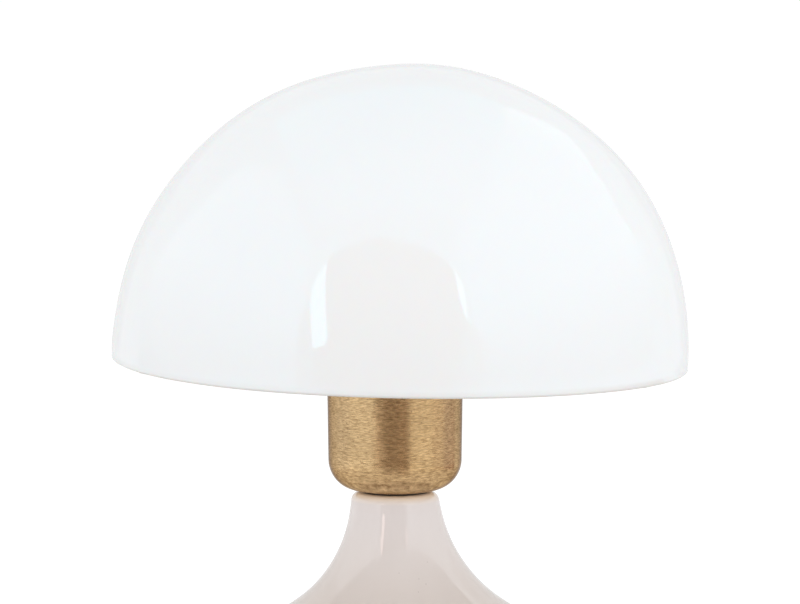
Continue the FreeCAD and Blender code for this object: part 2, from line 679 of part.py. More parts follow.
def cord_grommet(base):
    """Rubber bush in the cord hole. Its flanges follow the ceramic wall inside and outside."""
    wall_drop = f"({BELLY_HEIGHT} - cord_hole_height)"
    outside = f"({BELLY_CENTRE_RADIUS} + sqrt(belly_radius ^ 2 - {wall_drop} ^ 2))"
    inside = f"({BELLY_CENTRE_RADIUS} + sqrt((belly_radius - ceramic_wall) ^ 2 - {wall_drop} ^ 2))"
    sleeve = "cord_hole_radius - bush_gap"
    inner_end = f"{inside} - bush_inner_reach"
    outer_end = f"{outside} + bush_outer_reach"
    blank = turned("cord_grommet_blank", [
        ("cord_bore_radius", inner_end),
        ("bush_inner_radius - bush_inner_bevel", inner_end),
        ("bush_inner_radius", f"{inner_end} + bush_inner_bevel"),
        ("bush_inner_radius", f"{inside} + bush_root"),
        (sleeve, f"{inside} + bush_root"),
        (sleeve, f"{outside} - bush_root"),
        ("bush_outer_radius", f"{outside} - bush_root"),
        ("bush_outer_radius", f"{outer_end} - bush_outer_bevel"),
        ("bush_outer_radius - bush_outer_bevel", outer_end),
        ("cord_bore_radius + bush_mouth_bevel", outer_end),
        ("cord_bore_radius", f"{outer_end} - bush_mouth_bevel"),
    ])
    # Its own axis is laid along +Y, towards the back
    lay_back = FreeCAD.Rotation(FreeCAD.Vector(1, 0, 0), -90)
    blank.Placement = FreeCAD.Placement(FreeCAD.Vector(0, 0, number("cord_hole_height")), lay_back)
    blank.setExpression("Placement.Base.z", bound("cord_hole_height"))
    piece = document.addObject("Part::Cut", "cord_grommet")
    piece.Label = "cord_grommet"
    piece.Base = blank
    piece.Tool = base
    document.recompute()
    print(f"cord bore: y {number(inner_end):.2f} to {number(outer_end + ' - bush_mouth_bevel'):.2f}")
    return piece


def felt_pad():
    return turned("felt_pad", [
        ("0", "0"),
        ("felt_radius - felt_bevel", "0"),
        ("felt_radius", "felt_bevel"),
        ("felt_radius", "felt_thickness"),
        ("0", "felt_thickness"),
    ])


def plate_seal():
    return ring("plate_seal", "seal_inner_radius", "plate_radius", PLATE_TOP, RECESS_TOP)


def bottom_plate():
    """Steel disc drawn up against the ceramic floor by the stem's nut."""
    body = ring("bottom_plate", "stem_radius + washer_gap", "plate_radius", PLATE_BOTTOM, PLATE_TOP)
    drawing = new_sketch(body, "XY_Plane", PLATE_BOTTOM)
    draw_circle(drawing, "0", "block_centre", "block_screw_radius + block_screw_gap")
    pocket(body, drawing, "plate_thickness", flip=True)
    return body


def bottom_washer():
    return ring("bottom_washer", "stem_radius + washer_gap", "washer_radius",
                f"{PLATE_BOTTOM} - washer_thickness", PLATE_BOTTOM)


def bottom_nut():
    return hex_nut("bottom_nut", f"({PLATE_BOTTOM} - washer_thickness - nut_thickness)")


# Stem and cup

def stem_pipe():
    """Threaded steel pipe through the whole base, with a slot at the back for the leads."""
    body = turned("stem_pipe", [
        ("stem_bore_radius", PIPE_BOTTOM),
        ("stem_radius - pipe_bevel", PIPE_BOTTOM),
        ("stem_radius", f"{PIPE_BOTTOM} + pipe_bevel"),
        ("stem_radius", f"{PIPE_TOP} - pipe_bevel"),
        ("stem_radius - pipe_bevel", PIPE_TOP),
        ("stem_bore_radius", PIPE_TOP),
    ])
    low = f"({FLOOR_TOP} + lead_slot_lift)"
    drawing = new_sketch(body, "XZ_Plane")
    draw_box(drawing, "lead_slot_width", low, f"{low} + lead_slot_length")
    pocket(body, drawing, "stem_radius + overcut")
    return body


def neck_gasket():
    return ring("neck_gasket", "stem_hole_radius", "gasket_radius", NECK_TOP, CUP_BOTTOM)


def brass_cup():
    """Spun brass cup with a slight taper, a large bottom corner and a bevelled edge."""
    return turned("brass_cup", [
        ("stem_hole_radius", CUP_BOTTOM),
        ("cup_low_radius - cup_corner", CUP_BOTTOM, "cup_corner", "left"),
        ("cup_low_radius", f"{CUP_BOTTOM} + cup_corner"),
        ("cup_top_radius", f"{CUP_TOP} - cup_edge_bevel"),
        ("cup_top_radius - cup_edge_bevel", CUP_TOP),
        ("cup_top_radius - cup_wall", CUP_TOP),
        ("cup_low_radius - cup_wall", f"{CUP_BOTTOM} + cup_corner", "cup_corner - cup_wall", "right"),
        ("cup_low_radius - cup_corner", CUP_FLOOR),
        ("stem_hole_radius", CUP_FLOOR),
    ])


def cup_washer():
    return ring("cup_washer", "stem_radius + washer_gap", "washer_radius", CUP_FLOOR,
                f"{CUP_FLOOR} + washer_thickness")


def cup_lock_washer():
    return toothed_washer("cup_lock_washer", f"({CUP_FLOOR} + washer_thickness)")


def cup_nut():
    return hex_nut("cup_nut", f"({CUP_FLOOR} + washer_thickness + lock_washer_thickness)")


# Lampholder

def socket_cap():
    """Lower half of the lampholder: a neck that screws on the stem, and the wiring space."""
    underside = f"{CAP_FLOOR} - cap_floor_thickness"
    hollow_radius = "(cap_radius - holder_wall)"
    body = turned("socket_cap", [
        ("stem_radius + thread_gap", HOLDER_BOTTOM),
        ("cap_neck_radius", HOLDER_BOTTOM),
        ("cap_neck_radius", underside),
        ("cap_radius - cap_cone_inset", underside),
        ("cap_radius", f"{CAP_FLOOR} + cap_cone_height"),
        ("cap_radius", CAP_TOP),
        (hollow_radius, CAP_TOP),
        (hollow_radius, f"{CAP_FLOOR} + hollow_cone_height"),
        (f"{hollow_radius} - hollow_cone_inset", CAP_FLOOR),
        ("stem_radius + thread_gap", CAP_FLOOR),
    ])
    drawing = new_sketch(body, "XZ_Plane")
    draw_circle(drawing, "0", f"{HOLDER_BOTTOM} + grub_height", "grub_radius + grub_gap")
    pocket(body, drawing, "cap_neck_radius + overcut", flip=True)
    return body


def socket_grub_screw():
    """Small set screw in the cap's neck, which stops it from turning on the stem."""
    point = "stem_radius + grub_point_gap"
    end = "cap_neck_radius - grub_inset"
    body = turned("socket_grub_screw", [
        ("0", point),
        ("grub_radius - grub_bevel", point),
        ("grub_radius", f"{point} + grub_bevel"),
        ("grub_radius", end),
        ("grub_socket_radius", end),
        ("grub_socket_radius", f"{end} - grub_socket_depth"),
        ("0", f"{end} - grub_socket_depth"),
    ])
    # Its own axis is laid along -Y, towards the front
    lay_forward = FreeCAD.Rotation(FreeCAD.Vector(1, 0, 0), 90)
    height = f"{HOLDER_BOTTOM} + grub_height"
    body.Placement = FreeCAD.Placement(FreeCAD.Vector(0, 0, number(height)), lay_forward)
    body.setExpression("Placement.Base.z", bound(height))
    return body


def socket_body():
    """Upper half: a barrel threaded outside for the ring nut, with a flange for the carrier."""
    flange_low = f"{CUP_TOP} - holder_flange_thickness"
    mouth_radius = "(cap_core_radius + mouth_gap)"
    return turned("socket_body", [
        ("barrel_bore_radius", CAP_TOP),
        ("cap_radius", CAP_TOP),
        ("cap_radius", flange_low),
        ("holder_flange_radius", flange_low),
        ("holder_flange_radius", CUP_TOP),
        ("barrel_radius", CUP_TOP),
        ("barrel_radius", f"{HOLDER_TOP} - barrel_bevel"),
        ("barrel_radius - barrel_bevel", HOLDER_TOP),
        (f"{mouth_radius} + mouth_bevel", HOLDER_TOP),
        (mouth_radius, f"{HOLDER_TOP} - mouth_bevel"),
        (mouth_radius, f"{HOLDER_TOP} - mouth_lip"),
        ("barrel_bore_radius", f"{HOLDER_TOP} - mouth_lip"),
    ])


def socket_insulator():
    """Porcelain core that carries the contact and the screw shell."""
    skirt_radius = "(cap_radius - holder_wall - core_gap)"
    core_radius = "(barrel_bore_radius - core_gap)"
    seat_radius = "(shell_bore_radius + sheet_wall + shell_gap)"
    body = turned("socket_insulator", [
        ("0", f"{CAP_TOP} - core_drop"),
        (skirt_radius, f"{CAP_TOP} - core_drop"),
        (skirt_radius, f"{CAP_TOP} - core_step"),
        (core_radius, f"{CAP_TOP} + core_step"),
        (core_radius, f"{CAP_TOP} + core_height"),
        (seat_radius, f"{CAP_TOP} + core_height"),
        (seat_radius, f"{CAP_TOP} + shell_seat"),
        ("core_floor_radius", f"{CAP_TOP} + core_floor"),
        ("0", f"{CAP_TOP} + core_floor"),
    ])
    drawing = new_sketch(body, "XY_Plane", f"{CAP_TOP} - core_drop")
    for side in SIDES:
        draw_circle(drawing, f"{side} * post_reach", "0", "post_hole_radius")
    pocket(body, drawing, "core_drop - post_rise", flip=True)
    return body


def socket_centre_contact():
    """Bent brass tongue under the bulb's tip."""
    body = new_body("socket_centre_contact")
    drawing = new_sketch(body)
    foot = f"({CAP_TOP} + core_floor)"
    top = f"({TIP_BOTTOM} - tip_gap)"
    end_top = f"{top} - tongue_end_drop + tongue_sheet"
    draw_outline(drawing, [
        ("0 - tongue_back", foot),
        ("tongue_front", foot),
        ("tongue_front", f"{foot} + tongue_sheet"),
        ("tongue_flat - tongue_back", f"{foot} + tongue_sheet"),
        ("tongue_flat", f"{top} - tongue_sheet"),
        ("tongue_end", f"{top} - tongue_end_drop"),
        ("tongue_end + tongue_sheet / 2", end_top),
        ("tongue_flat", top),
        ("0 - tongue_flat", top),
        ("0 - tongue_back", f"{foot} + tongue_sheet"),
    ])
    pad(body, drawing, "tongue_width", midplane=True)
    return body


def socket_screw_shell():
    """Drawn brass shell with the socket's rounded thread."""
    sheet_ring = ring("socket_shell_sheet", "shell_bore_radius", "shell_bore_radius + sheet_wall",
                      f"({CAP_TOP} + shell_seat + shell_gap)", f"{HOLDER_TOP} - mouth_lip - shell_gap")
    ridge = thread_ridge("socket_shell", "shell_ridge_radius",
                         f"{THREAD_START} + thread_pitch / 2", "shell_turns")
    return joined("socket_screw_shell", sheet_ring, ridge)


def socket_terminal_screws():
    """Two screws on the core's underside that clamp the leads."""
    low = f"({CAP_TOP} - post_head_low)"
    screws = []
    for side in SIDES:
        body = turned(f"socket_terminal_screw_{len(screws) + 1}", [
            ("0", low),
            ("post_head_radius - head_bevel", low),
            ("post_head_radius", f"{low} + head_bevel"),
            ("post_head_radius", f"{low} + post_head_height"),
            ("post_radius", f"{low} + post_head_height"),
            ("post_radius", f"{CAP_TOP} - post_rise"),
            ("0", f"{CAP_TOP} - post_rise"),
        ])
        slot = new_sketch(body)
        draw_box(slot, "slot_width", f"{low} - overcut", f"{low} + slot_depth")
        pocket(body, slot, "2 * post_head_radius + overcut", midplane=True)
        body.Placement.Base = FreeCAD.Vector(side * number("post_reach"), 0, 0)
        body.setExpression("Placement.Base.x", bound(f"{side} * post_reach"))
        screws.append(body)
    return group("socket_terminal_screws", screws)


# What carries the shade

def shade_ring():
    """Ring nut on the barrel that clamps the carrier, with finger grips."""
    bore = "barrel_radius + shade_ring_gap"
    top = f"({CARRIER_TOP} + shade_ring_height)"
    flange_top = f"({CARRIER_TOP} + shade_ring_flange)"
    grip_low = f"({flange_top} + grip_step)"
    body = turned("shade_ring", [
        (bore, CARRIER_TOP),
        ("shade_ring_radius", CARRIER_TOP),
        ("shade_ring_radius", flange_top),
        ("shade_ring_radius - grip_inset", grip_low),
        ("shade_ring_radius - grip_inset", f"{top} - grip_bevel"),
        ("shade_ring_radius - grip_inset - grip_bevel", top),
        (bore, top),
    ])
    drawing = new_sketch(body, "XY_Plane", grip_low)
    draw_circle(drawing, "shade_ring_radius - grip_radius", "0", "grip_radius")
    grip = pocket(body, drawing, "shade_ring_height", flip=True)
    repeat_round(body, grip, "grip_count")
    return body


# The three arms, in degrees from +X
ARM_ANGLES = (90.0, 210.0, 330.0)


def rim_height(angle, reach):
    """Height of the leaning rim plane over the lamp's axis frame, at a reach along an arm."""
    return f"({CUP_BOTTOM} + rim_lift - {reach} * cos({angle}deg) * sin{LEAN})"


def rim_shift(angle):
    """How far the leaning shade moves out along an arm."""
    return f"((rim_lift * sin{LEAN} + shade_offset) * cos({angle}deg))"


def arm_low(angle):
    """Underside of an arm's end."""
    return f"({rim_height(angle, 'arm_tip_reach')} + arm_tip_lift)"


def shade_carrier():
    """Bent steel spider: a ring on the cup's edge and three arms out to the glass."""
    body = ring("shade_carrier", "carrier_hole_radius", "carrier_rim_radius", CUP_TOP, CARRIER_TOP)
    root = "carrier_rim_radius - arm_root"
    for angle in ARM_ANGLES:
        drawing = new_sketch(body, "XZ_Plane", turn=angle)
        tip = f"(arm_tip_reach + {rim_shift(angle)})"
        bend = f"(arm_bend_reach + {rim_shift(angle)})"
        tip_low = arm_low(angle)
        tip_top = f"{tip_low} + carrier_sheet"
        draw_outline(drawing, [
            (root, CUP_TOP),
            (f"{bend} - arm_bend_ease", CUP_TOP),
            (f"{tip} - arm_seat", tip_low),
            (tip, tip_low),
            (tip, tip_top),
            (f"{tip} - arm_seat + arm_bend_ease", tip_top),
            (bend, CARRIER_TOP),
            (root, CARRIER_TOP),
        ])
        pad(body, drawing, "arm_width", midplane=True)
    drawing = new_sketch(body, "XY_Plane", CUP_TOP)
    inner = ("vent_inner_radius", "vent_inner_angle")
    outer = ("vent_outer_radius", "vent_outer_angle")
    corners = [(f"{radius} * cos{degrees(half_span)}", f"{sign} * {radius} * sin{degrees(half_span)}")
               for (radius, half_span), sign in ((inner, -1), (outer, -1), (outer, 1), (inner, 1))]
    corners[1] += ("vent_outer_radius", "left")
    corners[3] += ("vent_inner_radius", "right")
    draw_outline(drawing, corners)
    vent = pocket(body, drawing, "carrier_sheet", flip=True)
    repeat_round(body, vent, "vent_count")
    return body


def carrier_boots():
    """Silicone boots on the arms' ends, with the slanted faces that the ground rim sits on."""
    boots = []
    for angle in ARM_ANGLES:
        body = new_body(f"carrier_boot_{len(boots) + 1}")
        rim = rim_height(angle, BEVEL_REACH)
        contact = f"({BEVEL_REACH} + {rim_shift(angle)} - boot_gap * sqrt(2))"
        tip = f"(arm_tip_reach + {rim_shift(angle)})"
        back = f"({tip} - boot_grip)"
        tip_low = arm_low(angle)
        boot_top = f"{tip_low} + carrier_sheet + boot_cover"
        drawing = new_sketch(body, "XZ_Plane", turn=angle)
        draw_outline(drawing, [
            (back, f"{rim} + boot_gap"),
            (f"{contact} + rim_bevel - boot_gap", f"{rim} + boot_gap"),
            (f"{contact} - boot_rise", f"{rim} + rim_bevel + boot_rise"),
            (f"{contact} - boot_rise", boot_top),
            (back, boot_top),
        ])
        pad(body, drawing, "boot_width", midplane=True)
        slot = new_sketch(body, "XZ_Plane", turn=angle)
        draw_outline(slot, [
            (f"{back} - overcut", tip_low),
            (tip, tip_low),
            (tip, f"{tip_low} + carrier_sheet"),
            (f"{back} - overcut", f"{tip_low} + carrier_sheet"),
        ])
        pocket(body, slot, "arm_width", midplane=True)
        boots.append(body)
    return group("carrier_boots", boots)


def shade_glass():
    """Blown opal dome, drawn from the cup's underside and leaned about that point."""
    centre = "(rim_lift + shade_centre_rise)"
    inner = "(shade_radius - shade_wall)"
    # The rounding's centre lies on a line from the sphere's centre to where the two curves meet
    drop = "(shade_centre_rise - rim_round)"
    rounding_reach = f"sqrt((shade_radius - rim_round) ^ 2 - {drop} ^ 2)"
    stretch = "(shade_radius / (shade_radius - rim_round))"
    body = turned("shade_glass", [
        ("0", f"{centre} + shade_radius", "shade_radius", "right"),
        ("shade_radius", centre, "shade_radius", "right"),
        (f"{rounding_reach} * {stretch}", f"{centre} - {drop} * {stretch}", "rim_round", "right"),
        (rounding_reach, "rim_lift"),
        (f"{BEVEL_REACH} + rim_bevel", "rim_lift"),
        (BEVEL_REACH, "rim_lift + rim_bevel", inner, "left"),
        (inner, centre, inner, "left"),
        ("0", f"{centre} + {inner}"),
    ])
    body.Placement = FreeCAD.Placement(
        FreeCAD.Vector(number("shade_offset"), 0, number(CUP_BOTTOM)),
        FreeCAD.Rotation(FreeCAD.Vector(0, 1, 0), number("shade_lean")))
    body.setExpression("Placement.Base.x", bound("shade_offset"))
    body.setExpression("Placement.Base.z", bound(CUP_BOTTOM))
    document.recompute()
    return body


# Bulb

def bulb_screw_cap():
    """Drawn cap with the rounded thread."""
    inner_radius = "cap_core_radius - sheet_wall"
    inner_low = f"({CAP_SHEET_LOW} + sheet_wall)"
    sheet_cup = turned("bulb_cap_sheet", [
        ("cap_end_radius", CAP_SHEET_LOW),
        ("cap_core_radius - cap_end_bevel", CAP_SHEET_LOW),
        ("cap_core_radius", f"{CAP_SHEET_LOW} + cap_end_bevel"),
        ("cap_core_radius", COLLAR_LOW),
        (inner_radius, COLLAR_LOW),
        (inner_radius, f"{inner_low} + cap_end_bevel - sheet_wall / 2"),
        (f"{inner_radius} - cap_end_bevel + sheet_wall / 2", inner_low),
        ("cap_end_radius", inner_low),
    ])
    ridge = thread_ridge("bulb_cap", "cap_ridge_radius", THREAD_START, "cap_turns")
    return joined("bulb_screw_cap", sheet_cup, ridge)


def bulb_insulator():
    """Black insulating cone between the cap and the tip."""
    low = f"{TIP_BOTTOM} + tip_height + cone_gap"
    high = f"{CAP_SHEET_LOW} - cone_cap_gap"
    plug_top = f"{CAP_SHEET_LOW} + cone_plug_height"
    return turned("bulb_insulator", [
        ("cone_bore_radius", low),
        ("cone_low_radius", low),
        ("cone_high_radius", high),
        ("cone_plug_radius", high),
        ("cone_plug_radius", plug_top),
        ("cone_bore_radius", plug_top),
    ])


def bulb_tip_contact():
    """Solder button at the bulb's end."""
    pin_top = f"{CAP_SHEET_LOW} + tip_pin_rise"
    return turned("bulb_tip_contact", [
        ("0", TIP_BOTTOM),
        ("tip_flat_radius", TIP_BOTTOM),
        ("tip_radius", f"{TIP_BOTTOM} + tip_height"),
        ("tip_pin_radius", f"{TIP_BOTTOM} + tip_height"),
        ("tip_pin_radius", pin_top),
        ("0", pin_top),
    ])


def bulb_collar():
    """White heat-spreading collar between the cap and the globe."""
    floor_top = f"{COLLAR_LOW} + collar_floor"
    return turned("bulb_collar", [
        ("collar_bore_radius", COLLAR_LOW),
        ("collar_low_radius", COLLAR_LOW),
        ("collar_low_radius", f"{COLLAR_LOW} + collar_straight", "collar_curve", "right"),
        ("collar_top_radius", COLLAR_TOP),
        ("collar_top_radius - collar_wall", COLLAR_TOP, "collar_curve + collar_wall", "left"),
        ("collar_low_radius - collar_wall", floor_top),
        ("collar_bore_radius", floor_top),
    ])


def bulb_globe():
    """Opal globe, cut off flat at the collar."""
    inner = "(globe_radius - globe_wall)"
    drop = f"({GLOBE_CENTRE} - {COLLAR_TOP})"
    return turned("bulb_globe", [
        ("0", GLOBE_TOP, "globe_radius", "right"),
        ("globe_radius", GLOBE_CENTRE, "globe_radius", "right"),
        ("collar_top_radius", COLLAR_TOP),
        (f"sqrt({inner} ^ 2 - {drop} ^ 2)", COLLAR_TOP, inner, "left"),
        (inner, GLOBE_CENTRE, inner, "left"),
        ("0", f"{GLOBE_CENTRE} + {inner}"),
    ])


def bulb_led_board():
    """Round board with its ring of chips."""
    low = f"({COLLAR_TOP} - board_drop)"
    top = f"({low} + board_thickness)"
    board_radius = "collar_top_radius - collar_wall - board_inset"
    body = turned("bulb_led_board", [("0", low), (board_radius, low), (board_radius, top), ("0", top)])
    drawing = new_sketch(body, "XY_Plane", top)
    draw_outline(drawing, [
        ("chip_reach", "0 - chip_size / 2"),
        ("chip_reach + chip_size", "0 - chip_size / 2"),
        ("chip_reach + chip_size", "chip_size / 2"),
        ("chip_reach", "chip_size / 2"),
    ])
    chip = pad(body, drawing, "chip_height")
    repeat_round(body, chip, "chip_count")
    return body


def bulb_driver_board():
    """Upright board in the collar with its capacitor and coil."""
    body = new_body("bulb_driver_board")
    drawing = new_sketch(body)
    draw_box(drawing, "driver_width", f"({COLLAR_LOW} - driver_drop)", f"({COLLAR_TOP} - driver_top_gap)")
    pad(body, drawing, "driver_thickness", midplane=True)
    for side, name in zip(SIDES, ("coil", "capacitor")):
        drawing = new_sketch(body)
        draw_circle(drawing, f"{side} * {name}_reach", f"{COLLAR_LOW} + {name}_lift", f"{name}_radius")
        pad(body, drawing, f"{name}_length")
    return body


# Wiring

def terminal_block():
    """Two-pole block: a wire way through each pole and a screw well at each end."""
    body = new_body("terminal_block")
    front = "(block_centre - block_depth / 2)"
    rear = "(block_centre + block_depth / 2)"
    drawing = new_sketch(body, "XY_Plane", PLATE_TOP)
    draw_outline(drawing, [
        ("0 - block_length / 2", front),
        ("block_length / 2", front),
        ("block_length / 2", rear),
        ("0 - block_length / 2", rear),
    ])
    pad(body, drawing, "block_height")
    ways = new_sketch(body)
    wells = new_sketch(body, "XY_Plane", f"{PLATE_TOP} + block_height")
    for side in SIDES:
        pole = f"{side} * pole_spacing / 2"
        draw_circle(ways, pole, f"{PLATE_TOP} + way_height", "way_radius")
        for end in SIDES:
            draw_circle(wells, pole, f"block_centre + {end} * well_reach", "well_radius")
    pocket(body, ways, f"{rear} + overcut")
    pocket(body, wells, "block_height - well_floor")
    hole = new_sketch(body, "XY_Plane", PLATE_TOP)
    draw_circle(hole, "0", "block_centre", "block_screw_radius + block_screw_gap")
    pocket(body, hole, "block_height", flip=True)
    return body


def terminal_clamp_screws():
    """Four screws in the block's wells."""
    screws = []
    low = f"({PLATE_TOP} + well_floor + clamp_screw_lift)"
    high = f"({low} + clamp_screw_height)"
    for side in SIDES:
        for end in SIDES:
            body = turned(f"terminal_clamp_screw_{len(screws) + 1}", [
                ("0", low),
                ("clamp_screw_radius", low),
                ("clamp_screw_radius", high),
                ("0", high),
            ])
            slot = new_sketch(body)
            draw_box(slot, "slot_width", f"{high} - slot_depth", f"{high} + overcut")
            pocket(body, slot, "2 * clamp_screw_radius + overcut", midplane=True)
            x_text = f"{side} * pole_spacing / 2"
            y_text = f"block_centre + {end} * well_reach"
            body.Placement.Base = FreeCAD.Vector(number(x_text), number(y_text), 0)
            body.setExpression("Placement.Base.x", bound(x_text))
            body.setExpression("Placement.Base.y", bound(y_text))
            screws.append(body)
    return group("terminal_clamp_screws", screws)


def block_screw():
    """Screw through the block into the bottom plate."""
    low = f"({PLATE_BOTTOM} - block_screw_end)"
    seat = f"({PLATE_TOP} + block_height)"
    top = f"({seat} + block_head_height)"
    body = turned("block_screw", [
        ("0", low),
        ("block_screw_radius - head_bevel", low),
        ("block_screw_radius", f"{low} + head_bevel"),
        ("block_screw_radius", seat),
        ("block_head_radius", seat),
        ("block_head_radius", f"{seat} + block_head_height / 2"),
        ("block_head_flat", top),
        ("0", top),
    ])
    slot = new_sketch(body)
    draw_box(slot, "slot_width", f"{top} - slot_depth", f"{top} + overcut")
    pocket(body, slot, "2 * block_head_radius + overcut", midplane=True)
    body.Placement.Base = FreeCAD.Vector(0, number("block_centre"), 0)
    body.setExpression("Placement.Base.y", bound("block_centre"))
    return body


def lead_route(side):
    """From a terminal screw down the pipe, out of its slot and into the block."""
    inside = f"{side} * lead_spacing / 2"
    pole = f"{side} * pole_spacing / 2"
    block_front = "(block_centre - block_depth / 2)"
    way = f"{PLATE_TOP} + way_height"
    return [
        (f"{side} * post_reach", "4.6", f"{CAP_TOP} - 6.6"),
        (f"{side} * 9", "5", f"{CAP_TOP} - 12"),
        (f"{side} * 2.4", "1.2", f"{PIPE_TOP} + 3.4"),
        (inside, "0", f"{PIPE_TOP} - 8"),
        (inside, "0", f"{FLOOR_TOP} + 28"),
        (f"{side} * 2", "6.2", f"{FLOOR_TOP} + 14"),
        (f"{side} * 4.6", "10.6", f"{FLOOR_TOP} + 2"),
        (pole, "13", way),
        (pole, f"{block_front} + 5", way),
    ]


def lead_live():
    return lead("lead_live", lead_route(1))


def lead_neutral():
    return lead("lead_neutral", lead_route(-1))


# The whole lamp

def build_lamp():
    base = ceramic_base()
    pieces = [
        base, cord_grommet(base), felt_pad(), plate_seal(), bottom_plate(), bottom_washer(),
        bottom_nut(), stem_pipe(), neck_gasket(), brass_cup(), cup_washer(), cup_lock_washer(),
        cup_nut(), socket_cap(), socket_grub_screw(), socket_body(), socket_insulator(),
        socket_centre_contact(), socket_screw_shell(), socket_terminal_screws(), shade_ring(),
        shade_carrier(), carrier_boots(), shade_glass(), bulb_screw_cap(), bulb_insulator(),
        bulb_tip_contact(), bulb_collar(), bulb_globe(), bulb_led_board(), bulb_driver_board(),
        terminal_block(), terminal_clamp_screws(), block_screw(), lead_live(), lead_neutral(),
    ]
    document.recompute()
    return pieces


def check(pieces):
    """Every object is up to date, and every piece's solid is whole."""
    for item in document.Objects:
        faults = {"Invalid", "Error"} & set(item.State)
        if faults:
            raise ValueError(f"{item.Label}: {', '.join(faults)}")
    for piece in pieces:
        if piece.Shape.isNull() or not piece.Shape.isValid() or not piece.Shape.Solids:
            raise ValueError(f"{piece.Label}: not a valid solid")


lamp_pieces = build_lamp()
check(lamp_pieces)
os.makedirs("parts", exist_ok=True)
for piece in lamp_pieces:
    piece.Shape.exportStep(f"parts/{piece.Label}.step")
    box = piece.Shape.BoundBox
    print(f"{piece.Label}: {len(piece.Shape.Solids)} solid, {piece.Shape.Volume / 1000:.2f} cm3, "
          f"x {box.XMin:.1f} to {box.XMax:.1f}, y {box.YMin:.1f} to {box.YMax:.1f}, "
          f"z {box.ZMin:.1f} to {box.ZMax:.1f}")
print(f"{len(lamp_pieces)} pieces")
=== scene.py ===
# %% [markdown]
# # A mushroom table lamp
#
# A white opal glass dome sits over a brushed brass cup, and both stand on the slim neck of a
# glazed ceramic base. The lamp's pieces come with real sizes from its construction model, the
# frame. This lesson gives each of them its finish, and rebuilds in mesh code the few pieces
# whose hand-made surface matters most to the eye.

import json
import math

import bpy
from mathutils import Matrix, Vector, noise


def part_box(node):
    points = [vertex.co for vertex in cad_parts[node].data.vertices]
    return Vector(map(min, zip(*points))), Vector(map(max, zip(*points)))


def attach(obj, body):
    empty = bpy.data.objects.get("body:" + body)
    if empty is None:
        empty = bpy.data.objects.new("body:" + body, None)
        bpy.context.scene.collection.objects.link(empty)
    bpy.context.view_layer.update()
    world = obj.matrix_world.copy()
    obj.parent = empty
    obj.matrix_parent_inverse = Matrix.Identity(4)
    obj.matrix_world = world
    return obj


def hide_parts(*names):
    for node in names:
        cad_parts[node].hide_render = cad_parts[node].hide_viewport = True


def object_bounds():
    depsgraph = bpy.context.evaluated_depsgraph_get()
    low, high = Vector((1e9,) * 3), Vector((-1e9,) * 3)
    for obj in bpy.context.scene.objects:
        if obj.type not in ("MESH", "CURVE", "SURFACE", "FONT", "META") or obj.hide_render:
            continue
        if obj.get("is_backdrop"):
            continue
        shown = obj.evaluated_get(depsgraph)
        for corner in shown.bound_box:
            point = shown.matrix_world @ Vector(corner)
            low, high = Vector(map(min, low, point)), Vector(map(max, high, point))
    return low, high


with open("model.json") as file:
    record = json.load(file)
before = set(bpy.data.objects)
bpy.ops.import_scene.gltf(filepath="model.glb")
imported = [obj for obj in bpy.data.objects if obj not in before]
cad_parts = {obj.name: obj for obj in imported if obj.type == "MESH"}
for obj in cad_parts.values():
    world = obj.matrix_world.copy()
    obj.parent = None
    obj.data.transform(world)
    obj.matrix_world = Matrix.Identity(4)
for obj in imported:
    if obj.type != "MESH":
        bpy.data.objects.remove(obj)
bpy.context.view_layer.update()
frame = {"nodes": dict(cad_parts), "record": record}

# %% [markdown]
# ## The camera
#
# The lamp was photographed from the front, a little above the rim of the dome, with a long
# lens: the brass cup shows almost no perspective. A camera two and a half metres away gives
# the same flat look. We place it by the height of the rim, and choose the lens so that a
# millimetre on the lamp takes the right share of the picture.

# %% Aim the camera
MM = 0.001
picture_width_px = 800
picture_height_px = 604
lamp_axis_px = 395.0
rim_plane_px = 365.1
pixels_per_mm = 1.889

cup_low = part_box("brass_cup")[0][2]
rim_lift = 66.5 * MM
rim_plane_height = cup_low + rim_lift
camera_distance = 2.45
camera_rise = math.radians(6.5)

aim = Vector((
    (picture_width_px / 2 - lamp_axis_px) / pixels_per_mm * MM,
    0,
    rim_plane_height + (rim_plane_px - picture_height_px / 2) / pixels_per_mm * MM,
))
camera_height = rim_plane_height + camera_distance * math.tan(camera_rise)
camera_place = Vector((0, -camera_distance, camera_height))
camera_data = bpy.data.cameras.new("camera")
camera = bpy.data.objects.new("camera", camera_data)
bpy.context.scene.collection.objects.link(camera)
bpy.context.scene.camera = camera
camera.location = camera_place
camera.rotation_euler = (aim - camera_place).to_track_quat("-Z", "Y").to_euler()
frame_width = picture_width_px / pixels_per_mm * MM
camera_data.sensor_width = 36
camera_data.lens = camera_data.sensor_width * (aim - camera_place).length / frame_width
print("lens", round(camera_data.lens), "mm")

# %% [markdown]
# ## A few small tools for materials
#
# A material in Blender is a graph of nodes. Writing each node and each wire out by hand hides
# what a finish is made of, so we keep a few helpers. One adds a node and feeds its inputs, one
# starts a material with its shader and the place of each point on the lamp. The rest make what
# every finish needs: cloudy patterns, mixed colours and bumps.

# %% Start a material
def add(tree, kind, inputs=None, **settings):
    """Adds a node. An input is a number, a colour, or the output of another node."""
    made = tree.nodes.new(kind)
    for name, setting in settings.items():
        setattr(made, name, setting)
    for name, value in (inputs or {}).items():
        if isinstance(value, bpy.types.NodeSocket):
            tree.links.new(value, made.inputs[name])
        else:
            made.inputs[name].default_value = value
    return made


